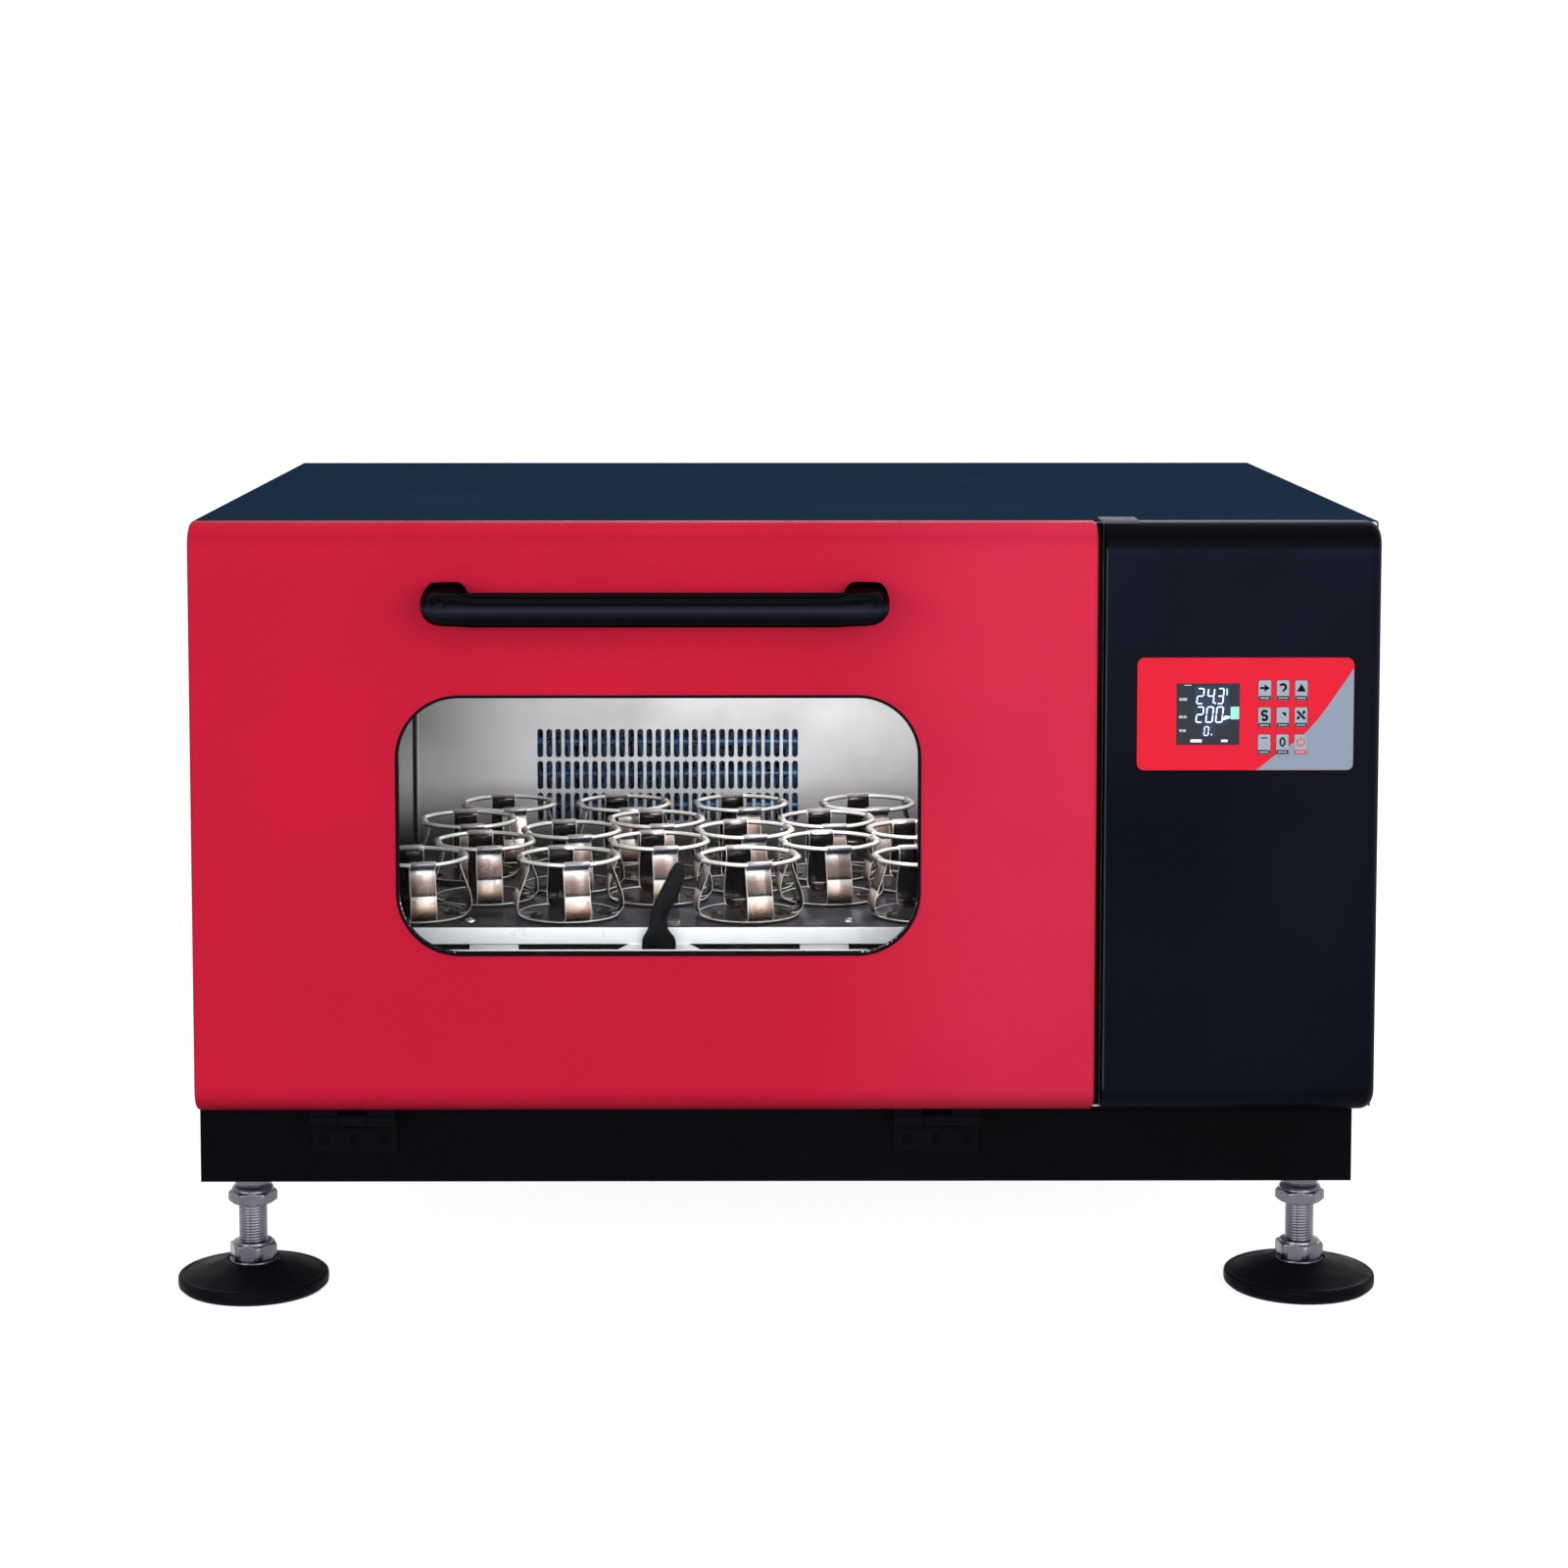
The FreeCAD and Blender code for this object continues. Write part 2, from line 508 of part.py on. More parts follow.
def polygon(*corners):
    """A closed outline of straight lines through corners given as pairs of expressions."""
    def draw(sketch):
        spots = [FreeCAD.Vector(number(across), number(up), 0) for across, up in corners]
        lines = [sketch.addGeometry(Part.LineSegment(spot, spots[(turn + 1) % len(spots)]), False)
                 for turn, spot in enumerate(spots)]
        for turn, line in enumerate(lines):
            after = lines[(turn + 1) % len(lines)]
            sketch.addConstraint(Sketcher.Constraint("Coincident", line, 2, after, 1))
            fix(sketch, "DistanceX", line, 1, corners[turn][0])
            fix(sketch, "DistanceY", line, 1, corners[turn][1])
    return draw


def rounded(left, right, low, high, radii):
    """A closed upright box whose corners have the four radii given, None for a sharp one.

    The corners run low left, low right, high right, high left.
    """
    def draw(sketch):
        box = ((left, low), (right, low), (right, high), (left, high))
        spots = [FreeCAD.Vector(number(across), number(up), 0) for across, up in box]
        cuts = [number(radius) if radius else 0 for radius in radii]
        along = [(spots[(turn + 1) % 4] - spots[turn]).normalize() for turn in range(4)]
        lines = []
        for turn in range(4):
            start = spots[turn] + along[turn] * cuts[turn]
            end = spots[(turn + 1) % 4] - along[turn] * cuts[(turn + 1) % 4]
            lines.append(sketch.addGeometry(Part.LineSegment(start, end), False))
        for turn in range(4):
            sketch.addConstraint(Sketcher.Constraint("Vertical" if turn % 2 else "Horizontal", lines[turn]))
        fix(sketch, "DistanceY", lines[0], 1, low)
        fix(sketch, "DistanceX", lines[1], 1, right)
        fix(sketch, "DistanceY", lines[2], 1, high)
        fix(sketch, "DistanceX", lines[3], 1, left)
        for turn in range(4):
            before = lines[turn - 1]
            if not radii[turn]:
                sketch.addConstraint(Sketcher.Constraint("Coincident", before, 2, lines[turn], 1))
                continue
            centre = spots[turn] + (along[turn] - along[turn - 1]) * cuts[turn]
            start_angle = math.pi + turn * math.pi / 2
            whole = Part.Circle(centre, FreeCAD.Vector(0, 0, 1), cuts[turn])
            arc = sketch.addGeometry(Part.ArcOfCircle(whole, start_angle, start_angle + math.pi / 2), False)
            sketch.addConstraint(Sketcher.Constraint("Tangent", before, 2, arc, 1))
            sketch.addConstraint(Sketcher.Constraint("Tangent", arc, 2, lines[turn], 1))
            fix_radius(sketch, arc, radii[turn])
    return draw


def rectangle(left, right, low, high, radius=None):
    """A closed upright box with four corners alike."""
    return rounded(left, right, low, high, (radius, radius, radius, radius))


def hexagon(across, up, flats):
    """A closed regular hexagon, its flats facing up and down."""
    reach = "(%s) / 2 / cos(30)" % flats
    return polygon(*[("%s + %s * cos(%d)" % (across, reach, 60 * turn),
                      "%s + %s * sin(%d)" % (up, reach, 60 * turn)) for turn in range(6)])


def belt_loop(first, first_radius, second, second_radius):
    """A closed belt line round two circles whose centres differ only up the sketch."""
    def draw(sketch):
        low = FreeCAD.Vector(number(first[0]), number(first[1]), 0)
        high = FreeCAD.Vector(number(second[0]), number(second[1]), 0)
        small, large = number(second_radius), number(first_radius)
        lean = math.asin((large - small) / (high - low).Length)
        out = FreeCAD.Vector(0, 0, 1)
        under = Part.ArcOfCircle(Part.Circle(low, out, large), math.pi - lean, 2 * math.pi + lean)
        over = Part.ArcOfCircle(Part.Circle(high, out, small), lean, math.pi - lean)
        under_index = sketch.addGeometry(under, False)
        right = sketch.addGeometry(Part.LineSegment(under.EndPoint, over.StartPoint), False)
        over_index = sketch.addGeometry(over, False)
        left = sketch.addGeometry(Part.LineSegment(over.EndPoint, under.StartPoint), False)
        for one, other in ((under_index, right), (right, over_index), (over_index, left), (left, under_index)):
            sketch.addConstraint(Sketcher.Constraint("Tangent", one, 2, other, 1))
        for index, spot, radius in ((under_index, first, first_radius), (over_index, second, second_radius)):
            fix(sketch, "DistanceX", index, 3, spot[0])
            fix(sketch, "DistanceY", index, 3, spot[1])
            fix_radius(sketch, index, radius)
    return draw


def sketch_on(owner, plane, level, draws):
    """A sketch parallel to one of the body's own planes, at a level along that plane's axis."""
    sketch = owner.newObject("Sketcher::SketchObject", owner.Name + "_sketch")
    support = next(item for item in owner.Origin.OriginFeatures if item.Role == plane + "_Plane")
    sketch.AttachmentSupport = [(support, "")]
    sketch.MapMode = "FlatFace"
    bind(sketch, "AttachmentOffset.Base.z", "-(%s)" % level if plane == "XZ" else level)
    for draw in draws:
        draw(sketch)
    return sketch


def add(owner, plane, start, end, *draws):
    """A pad from one level to a higher one, added to the body."""
    feature = owner.newObject("PartDesign::Pad", owner.Name + "_pad")
    feature.Profile = sketch_on(owner, plane, start, draws)
    feature.Reversed = plane == "XZ"
    bind(feature, "Length", "%s - (%s)" % (end, start))
    return feature


def cut(owner, plane, start, end, *draws):
    """A pocket from one level to a higher one, cut from the body."""
    feature = owner.newObject("PartDesign::Pocket", owner.Name + "_pocket")
    feature.Profile = sketch_on(owner, plane, start, draws)
    feature.Reversed = plane != "XZ"
    bind(feature, "Length", "%s - (%s)" % (end, start))
    return feature


def prism(label, plane, start, end, *draws):
    """A body that begins as one pad. XY planes rise with Z, XZ planes with Y, YZ planes with X."""
    owner = doc.addObject("PartDesign::Body", label)
    owner.Label = label
    add(owner, plane, start, end, *draws)
    return owner


def turned(label, where, corners, tilt=None):
    """A body turned round its own upright axis through corners given as radius and height."""
    owner = doc.addObject("PartDesign::Body", label)
    owner.Label = label
    feature = owner.newObject("PartDesign::Revolution", label + "_turn")
    sketch = sketch_on(owner, "XZ", "0", [polygon(*corners)])
    feature.Profile = sketch
    feature.ReferenceAxis = (sketch, ["V_Axis"])
    place(owner, where, tilt)
    return owner


def place(owner, where, tilt=None):
    """Put a body's own origin at three expressions, turned first by the rotation given."""
    if tilt:
        owner.Placement = FreeCAD.Placement(FreeCAD.Vector(0, 0, 0), tilt)
    for axis, text in zip("xyz", where):
        bind(owner, "Placement.Base." + axis, text)


def fillet(owner, radius, wanted):
    """Round the edges of a body that the test picks."""
    doc.recompute()
    base = owner.Tip
    names = ["Edge%d" % (turn + 1) for turn, edge in enumerate(base.Shape.Edges) if wanted(edge)]
    feature = owner.newObject("PartDesign::Fillet", owner.Name + "_fillet")
    feature.Base = (base, names)
    bind(feature, "Radius", radius)
    return feature


def repeat(owner, feature, *steps):
    """Repeat a feature in rows: each step names a sketch axis, the pitch and the count."""
    pattern = owner.newObject("PartDesign::MultiTransform", owner.Name + "_rows")
    pattern.Originals = [feature]
    rows = []
    for axis, pitch, count in steps:
        row = doc.addObject("PartDesign::LinearPattern", owner.Name + "_row")
        row.Direction = (feature.Profile[0], [axis])
        bind(row, "Length", "(%s) * (%s - 1)" % (pitch, count))
        bind(row, "Occurrences", count)
        rows.append(row)
    pattern.Transformations = rows
    owner.Tip = pattern
    return pattern


def turn_round(owner, feature, count):
    """Repeat a feature round the body's own upright axis."""
    pattern = owner.newObject("PartDesign::PolarPattern", owner.Name + "_round")
    pattern.Originals = [feature]
    pattern.Axis = (next(item for item in owner.Origin.OriginFeatures if item.Role == "Z_Axis"), [""])
    pattern.Angle = 360
    bind(pattern, "Occurrences", count)
    owner.Tip = pattern
    return pattern


def gather(label, members):
    """One node made of separate solids."""
    bundle = doc.addObject("Part::Compound", label)
    bundle.Label = label
    bundle.Links = members
    return bundle


def group_of(label, shapes):
    """One node made of separate solids whose shapes are ready."""
    feature = doc.addObject("Part::Feature", label)
    feature.Label = label
    feature.Shape = Part.makeCompound(shapes)
    feature.Placement = FreeCAD.Placement()
    return feature


def hollow(owner, wall, wanted):
    """Leave a shell of even thickness, open where the test picks a face."""
    doc.recompute()
    base = owner.Tip
    names = ["Face%d" % (turn + 1) for turn, face in enumerate(base.Shape.Faces) if wanted(face)]
    feature = owner.newObject("PartDesign::Thickness", owner.Name + "_hollow")
    feature.Base = (base, names)
    feature.Reversed = True
    bind(feature, "Value", wall)
    return feature


def level_with(axis, text):
    """A test for edges or faces that lie wholly in one plane, such as the left face."""
    value = number(text)
    slack = number("moving_gap")

    def wanted(piece):
        box = piece.BoundBox
        ends = {"X": (box.XMin, box.XMax), "Y": (box.YMin, box.YMax), "Z": (box.ZMin, box.ZMax)}[axis]
        return abs(ends[0] - value) < slack and abs(ends[1] - value) < slack
    return wanted


Z_TO_FRONT = FreeCAD.Rotation(FreeCAD.Vector(1, 0, 0), 90)


# Fixed housing

def cabinet_shell():
    """Painted wrap: roof and both sides, folded from one sheet."""
    shell = prism("cabinet_shell", "XZ", "frame_face", "panel_back",
                  rounded("body_left", "body_right", "body_low", "body_high",
                          (None, None, "shell_corner", "shell_corner")))
    cut(shell, "XZ", "frame_face - overrun", "panel_back + overrun", inside_shell("body_low - overrun"))
    return shell


def inside_shell(low="body_low"):
    """The outline of what fits inside the shell, from a level up to the roof."""
    bend = "shell_corner - sheet"
    return rounded("body_left + sheet", "body_right - sheet", low, "body_high - sheet",
                   (None, None, bend, bend))


def rear_panel():
    """Back sheet with vent slots behind the condenser and holes for the inlet and the switch."""
    panel = prism("rear_panel", "XZ", "panel_back - sheet", "panel_back",
                  inside_shell(),
                  rectangle("inlet_x - inlet_width / 2 + inlet_body_margin",
                            "inlet_x + inlet_width / 2 - inlet_body_margin",
                            "inlet_z - inlet_height / 2 + inlet_body_margin",
                            "inlet_z + inlet_height / 2 - inlet_body_margin"),
                  rectangle("inlet_x - rocker_width / 2 - rocker_frame / 2",
                            "inlet_x + rocker_width / 2 + rocker_frame / 2",
                            "rocker_z - rocker_height / 2 - rocker_frame / 2",
                            "rocker_z + rocker_height / 2 + rocker_frame / 2"))
    vent = cut(panel, "XZ", "panel_back - sheet - overrun", "panel_back + overrun",
               rectangle("compressor_x - louvre_width / 2", "compressor_x + louvre_width / 2",
                         "body_low + louvre_step", "body_low + louvre_step + louvre_height"))
    repeat(panel, vent, ("V_Axis", "louvre_step", "louvres"))
    return panel


def plinth_frame():
    """Dark ring of steel between the base pan and the body."""
    ring = prism("plinth_frame", "XY", "foot_height", "body_low",
                 rectangle("plinth_left", "plinth_right", "plinth_front", "plinth_rear"),
                 rectangle("plinth_left + plinth_wall", "plinth_right - plinth_wall",
                           "plinth_front + plinth_wall", "plinth_rear - plinth_wall"))
    cut(ring, "XZ", "plinth_front - overrun", "plinth_front + plinth_wall + overrun",
        *[circle(across, up, "screw_radius") for side, turn, across, up in hinge_screw_spots()])
    return ring


def hinge_spots():
    """The two hinges, by the expression for the middle of each."""
    return (("left", "door_middle - hinge_apart"), ("right", "door_middle + hinge_apart"))


def hinge_screw_spots():
    """The screws of the lower leaves: hinge, number, and place across and up."""
    return [(side, turn, "%s + screw_step * %d" % (middle, turn - 2), "leaf_high - leaf_height + screw_rise")
            for side, middle in hinge_spots() for turn in (1, 2, 3)]


def foot_spots():
    """The four foot centres, each with the words that name it."""
    return (("front_left", "-foot_x", "foot_front"), ("front_right", "foot_x", "foot_front"),
            ("rear_left", "-foot_x", "foot_rear"), ("rear_right", "foot_x", "foot_rear"))


def base_pan():
    """Floor of the machine room, with a threaded block over each foot and vent slots."""
    inner = ("plinth_left + plinth_wall", "plinth_right - plinth_wall",
             "plinth_front + plinth_wall", "plinth_rear - plinth_wall")
    pan = prism("base_pan", "XY", "foot_height", "pan_top", rectangle(*inner))
    add(pan, "XY", "pan_top", "pan_top + foot_boss_height",
        *[circle(across, back, "foot_boss_radius") for name, across, back in foot_spots()])
    cut(pan, "XY", "foot_height - overrun", "pan_top + foot_boss_height + overrun",
        *[circle(across, back, "stud_radius + bore_gap") for name, across, back in foot_spots()])
    slot = cut(pan, "XY", "foot_height - overrun", "pan_top + overrun",
               rectangle("compressor_x - drip_slot_length / 2", "compressor_x + drip_slot_length / 2",
                         "foot_front + foot_boss_radius + drip_slot_step",
                         "foot_front + foot_boss_radius + drip_slot_step + drip_slot_width"))
    repeat(pan, slot, ("V_Axis", "drip_slot_step", "drip_slots"))
    return pan


def front_frame():
    """Sheet behind the door and the column, open at the chamber's mouth."""
    return prism("front_frame", "XZ", "frame_face", "frame_back",
                 inside_shell(),
                 rectangle("liner_left", "liner_right", "liner_floor", "liner_roof"))


def shaft_spots():
    """Drive and idler axes: name, place, shaft radius, disc radius and housing height."""
    return (("drive", "drive_x", "shaft_radius", "crank_disc", "drive_housing_height"),
            ("left", "drive_x - idler_apart", "idler_radius", "idler_disc", "idler_housing_height"),
            ("right", "drive_x + idler_apart", "idler_radius", "idler_disc", "idler_housing_height"))


def chamber_liner():
    """Stainless box round the chamber and its air duct, open at the front."""
    liner = prism("chamber_liner", "XZ", "frame_back", "liner_rear + sheet",
                  rectangle("liner_left - sheet", "liner_right + sheet",
                            "liner_floor - sheet", "liner_roof + sheet"))
    cut(liner, "XZ", "frame_back - overrun", "liner_rear",
        rectangle("liner_left", "liner_right", "liner_floor", "liner_roof"))
    cut(liner, "XY", "liner_floor - sheet - overrun", "liner_floor + overrun / 2",
        *[circle(across, "drive_y", radius + " + floor_hole_gap")
          for name, across, radius, disc, height in shaft_spots()])
    return liner


def duct_panel():
    """Brushed stainless panel with three rows of upright slots and a round air intake."""
    panel = prism("duct_panel", "XZ", "duct_face", "duct_face + sheet",
                  rectangle("liner_left", "liner_right", "liner_floor", "liner_roof"))
    slot = cut(panel, "XZ", "duct_face - overrun", "duct_face + sheet + overrun",
               rectangle("slot_left", "slot_left + slot_width", "slot_low", "slot_low + slot_height"))
    repeat(panel, slot, ("H_Axis", "slot_step", "slot_columns"), ("V_Axis", "slot_row_step", "slot_rows"))
    count = int(number("intake_slots"))
    cut(panel, "XZ", "duct_face - overrun", "duct_face + sheet + overrun",
        *[intake_slot(360 * turn / count) for turn in range(count)])
    return panel


def intake_slot(angle):
    """One radial slot of the air intake, at an angle round the fan's axis."""
    half = "intake_slot_width / 2"
    corners = (("intake_hub", "-" + half), ("intake_radius", "-" + half),
               ("intake_radius", half), ("intake_hub", half))
    return polygon(*[("fan_x + %s * cos(%s) - %s * sin(%s)" % (out, angle, side, angle),
                      "fan_z + %s * sin(%s) + %s * cos(%s)" % (out, angle, side, angle))
                     for out, side in ((out, "(%s)" % side) for out, side in corners)])


def foam_jacket():
    """Foam between the liner and the painted shell, with wells for the three shafts."""
    jacket = prism("foam_jacket", "XZ", "frame_back", "liner_rear + sheet + foam_rear",
                   rectangle("body_left + sheet + foam_left", "liner_right + sheet + foam_right",
                             "foam_low", "body_high - sheet - foam_over"))
    cut(jacket, "XZ", "frame_back - overrun", "liner_rear + sheet",
        rectangle("liner_left - sheet", "liner_right + sheet", "liner_floor - sheet", "liner_roof + sheet"))
    cut(jacket, "XY", "foam_low - overrun", "liner_floor",
        *[circle(across, "drive_y", radius + " + floor_hole_gap")
          for name, across, radius, disc, height in shaft_spots()])
    return jacket


# Control column

def column_cover():
    """Dark front of the column, rolled at its top, bottom and outer side."""
    cover = prism("column_cover", "YZ", "column_left", "body_right",
                  rounded("door_face", "frame_face", "body_low", "body_high",
                          ("roll_radius", None, None, "roll_radius")))
    in_side = level_with("X", "body_right")
    at_rear = level_with("Y", "frame_face")
    fillet(cover, "side_roll", lambda edge: in_side(edge) and not at_rear(edge))
    hollow(cover, "sheet", at_rear)
    cut(cover, "XZ", "door_face - overrun", "door_face + sheet + overrun",
        rectangle("panel_left + panel_lap", "panel_right - panel_lap",
                  "panel_low + panel_lap", "panel_high - panel_lap"))
    return cover


def key_spots():
    """Key centres by row and column, row 1 on top."""
    return [("key_%d_%d" % (row, column),
             "panel_left + key_inset + key_step * %d" % (column - 1),
             "panel_low + key_rise + key_row_step * %d" % (3 - row))
            for row in (1, 2, 3) for column in (1, 2, 3)]


def keypad_panel():
    """Rounded red plate over the column's hole, with its display window and nine key holes."""
    holes = [rectangle("%s - key_width / 2 - moving_gap" % across, "%s + key_width / 2 + moving_gap" % across,
                       "%s - key_height / 2 - moving_gap" % up, "%s + key_height / 2 + moving_gap" % up)
             for name, across, up in key_spots()]
    return prism("keypad_panel", "XZ", "panel_face", "door_face",
                 rectangle("panel_left", "panel_right", "panel_low", "panel_high", "panel_radius"),
                 rectangle("display_left", "display_left + display_width",
                           "display_low", "display_low + display_height"), *holes)


def display_window():
    """Clear plate of the display, set in the panel."""
    return prism("display_window", "XZ", "panel_face + display_sink", "door_face",
                 rectangle("display_left", "display_left + display_width",
                           "display_low", "display_low + display_height"))


def key(label, across, up):
    """One key with the rim that keeps it behind the panel."""
    cap = prism(label, "XZ", "key_face", "key_back",
                rectangle("%s - key_width / 2" % across, "%s + key_width / 2" % across,
                          "%s - key_height / 2" % up, "%s + key_height / 2" % up, "key_round"))
    add(cap, "XZ", "door_face + moving_gap", "door_face + moving_gap + key_flange_thick",
        rectangle("%s - key_width / 2 - key_flange" % across, "%s + key_width / 2 + key_flange" % across,
                  "%s - key_height / 2 - key_flange" % up, "%s + key_height / 2 + key_flange" % up))
    return cap


def control_board():
    """Circuit board behind the panel: nine switches and four posts to the column's face."""
    left, right = "panel_left + panel_lap", "panel_right - panel_lap"
    low, high = "panel_low + panel_lap - board_margin", "panel_high - panel_lap + board_margin"
    board = prism("control_board", "XZ", "board_face", "board_face + board_thick",
                  rectangle(left, right, low, high))
    add(board, "XZ", "switch_face", "board_face",
        *[rectangle("%s - switch_size / 2" % across, "%s + switch_size / 2" % across,
                    "%s - switch_size / 2" % up, "%s + switch_size / 2" % up)
          for name, across, up in key_spots()])
    add(board, "XZ", "door_face + sheet", "board_face",
        *[circle(across, up, "board_post")
          for across in (left + " + board_post", right + " - board_post")
          for up in (low + " + board_post", high + " - board_post")])
    return board


def column_tab():
    """Bright angle on the column's top front corner, with one hole in its lip."""
    tab = prism("column_tab", "YZ", "column_left - column_gap / 2", "column_left - column_gap / 2 + tab_width",
                polygon(("door_face + tab_setback", "body_high - tab_lip"),
                        ("door_face + tab_setback + tab_thick", "body_high - tab_lip"),
                        ("door_face + tab_setback + tab_thick", "body_high"),
                        ("door_face + tab_setback + tab_depth", "body_high"),
                        ("door_face + tab_setback + tab_depth", "body_high + tab_thick"),
                        ("door_face + tab_setback", "body_high + tab_thick")))
    cut(tab, "XZ", "door_face + tab_setback - overrun", "door_face + tab_setback + tab_thick + overrun",
        circle("column_left - column_gap / 2 + tab_hole_inset",
               "body_high - tab_lip / 2 + tab_thick / 2", "tab_hole"))
    return tab


# Door

def door_skin():
    """Painted door, rolled at its top and bottom, with the window's opening."""
    skin = prism("door_skin", "YZ", "body_left", "door_right",
                 rounded("door_face", "door_back", "body_low", "body_high",
                         ("roll_radius", None, None, "roll_radius")))
    at_left = level_with("X", "body_left")
    at_right = level_with("X", "door_right")
    at_rear = level_with("Y", "door_back")
    fillet(skin, "edge_roll", lambda edge: (at_left(edge) or at_right(edge)) and not at_rear(edge))
    hollow(skin, "sheet", at_rear)
    cut(skin, "XZ", "door_face - overrun", "door_face + sheet + overrun",
        rectangle("window_left", "window_right", "window_low", "window_high", "window_radius"))
    return skin


def window_loop(grow):
    """The window's outline, grown by an expression on every side."""
    return rectangle("window_left - (%s)" % grow, "window_right + (%s)" % grow,
                     "window_low - (%s)" % grow, "window_high + (%s)" % grow, "window_radius + (%s)" % grow)


def window_gasket():
    """Black rubber round the outer pane, with a flange behind the skin."""
    gasket = prism("window_gasket", "XZ", "door_face - gasket_proud", "door_face + gasket_depth",
                   window_loop("0"), window_loop("-gasket_lip"))
    add(gasket, "XZ", "door_face + sheet", "door_face + sheet + gasket_flange_thick",
        window_loop("gasket_flange"), window_loop("-gasket_lip"))
    return gasket


def outer_pane():
    """Outer glass, held in the rubber."""
    return prism("outer_pane", "XZ", "door_face + glass_setback", "door_face + glass_setback + glass_thick",
                 window_loop("-gasket_lip"))


def inner_pane():
    """Inner glass, behind the plug's window hole."""
    return prism("inner_pane", "XZ", "plug_back - sheet - glass_thick", "plug_back - sheet",
                 window_loop("reveal_margin - sheet"))


def door_liner():
    """Stainless inner door: flange, raised plug and the tunnel between the panes."""
    liner = prism("door_liner", "XZ", "door_back - sheet", "door_back",
                  rectangle("body_left + liner_inset", "door_right - liner_inset", "body_low + liner_inset",
                            "body_high - liner_inset", "edge_roll - liner_inset"))
    add(liner, "XZ", "door_back - sheet", "plug_back",
        rectangle("plug_left", "plug_right", "plug_low", "plug_high", "plug_radius"))
    cut(liner, "XZ", "door_back - sheet - overrun", "plug_back - sheet",
        rectangle("plug_left + sheet", "plug_right - sheet", "plug_low + sheet", "plug_high - sheet",
                  "plug_radius - sheet"))
    add(liner, "XZ", "door_face + gasket_depth + moving_gap", "plug_back",
        window_loop("reveal_margin"), window_loop("reveal_margin - sheet"))
    cut(liner, "XZ", "plug_back - sheet - overrun / 2", "plug_back + overrun",
        window_loop("reveal_margin - sheet - glass_lap"))
    return liner


def door_seal():
    """Soft seal on the inner door, just clear of the chamber's frame."""
    def seal_loop(out):
        return rectangle("liner_left - seal_margin - (%s)" % out, "liner_right + seal_margin + (%s)" % out,
                         "liner_floor - seal_margin - (%s)" % out, "liner_roof + seal_margin + (%s)" % out,
                         "plug_radius + (%s)" % out)
    return prism("door_seal", "XZ", "door_back", "door_back + seal_thick",
                 seal_loop("seal_width"), seal_loop("0"))


def door_handle():
    """Gloss black bail: a rounded bar on two rounded legs."""
    handle = prism("door_handle", "YZ", "handle_left + leg_round / 2", "handle_right - leg_round / 2",
                   rectangle("bar_front", "bar_front + bar_depth",
                             "bar_middle - bar_height / 2", "bar_middle + bar_height / 2", "bar_round"))
    for left in ("handle_left", "handle_right - leg_width"):
        add(handle, "XZ", "bar_front + bar_round / 2", "door_face",
            rectangle(left, left + " + leg_width", "bar_middle - leg_height / 2 + leg_rise",
                      "bar_middle + leg_height / 2 + leg_rise", "leg_round"))
    return handle


def hinge_lower_leaves():
    """Plates screwed to the plinth, each with the middle knuckle."""
    leaves = []
    for side, middle in hinge_spots():
        leaf = prism("hinge_lower_" + side, "YZ", middle + " - knuckle_length / 2",
                     middle + " + knuckle_length / 2", circle("hinge_y", "hinge_z", "knuckle_radius"))
        add(leaf, "YZ", middle + " - knuckle_length / 2", middle + " + knuckle_length / 2",
            polygon(("plinth_front - leaf_thick", "leaf_high - leaf_thick"),
                    ("plinth_front", "leaf_high - leaf_thick"),
                    ("hinge_y + leaf_thick", "hinge_z"),
                    ("hinge_y - leaf_thick / 2", "hinge_z - leaf_thick")))
        add(leaf, "XZ", "plinth_front - leaf_thick", "plinth_front",
            rectangle(middle + " - leaf_width / 2", middle + " + leaf_width / 2",
                      "leaf_high - leaf_height", "leaf_high"))
        cut(leaf, "YZ", middle + " - leaf_width", middle + " + leaf_width",
            circle("hinge_y", "hinge_z", "hinge_pin + bore_gap"))
        cut(leaf, "XZ", "plinth_front - leaf_thick - overrun", "plinth_front + overrun",
            *[circle(across, up, "screw_head") for name, turn, across, up in hinge_screw_spots()
              if name == side])
        leaves.append(leaf)
    return gather("hinge_lower_leaves", leaves)


def hinge_upper_leaves():
    """Blocks under the door, each with two outer knuckles and the pin."""
    leaves = []
    for side, middle in hinge_spots():
        leaf = prism("hinge_upper_" + side, "YZ", middle + " - leaf_width / 2", middle + " + leaf_width / 2",
                     circle("hinge_y", "hinge_z", "hinge_pin"))
        for start, end in (("- leaf_width / 2", "- knuckle_length / 2 - knuckle_gap"),
                           ("+ knuckle_length / 2 + knuckle_gap", "+ leaf_width / 2")):
            add(leaf, "YZ", "%s %s" % (middle, start), "%s %s" % (middle, end),
                circle("hinge_y", "hinge_z", "knuckle_radius"))
            add(leaf, "YZ", "%s %s" % (middle, start), "%s %s" % (middle, end),
                rectangle("hinge_y - leaf_thick", "hinge_y + leaf_thick", "hinge_z", "body_low"))
        leaves.append(leaf)
    return gather("hinge_upper_leaves", leaves)


def hinge_screws():
    """Six countersunk screws through the lower leaves and the plinth."""
    return gather("hinge_screws", [
        turned("hinge_screw_%s_%d" % (side, turn), (across, "plinth_front", up),
               (("0", "leaf_thick - screw_length"), ("screw_radius", "leaf_thick - screw_length"),
                ("screw_radius", "0"), ("screw_head", "leaf_thick"), ("0", "leaf_thick")), Z_TO_FRONT)
        for side, turn, across, up in hinge_screw_spots()])


# Levelling feet

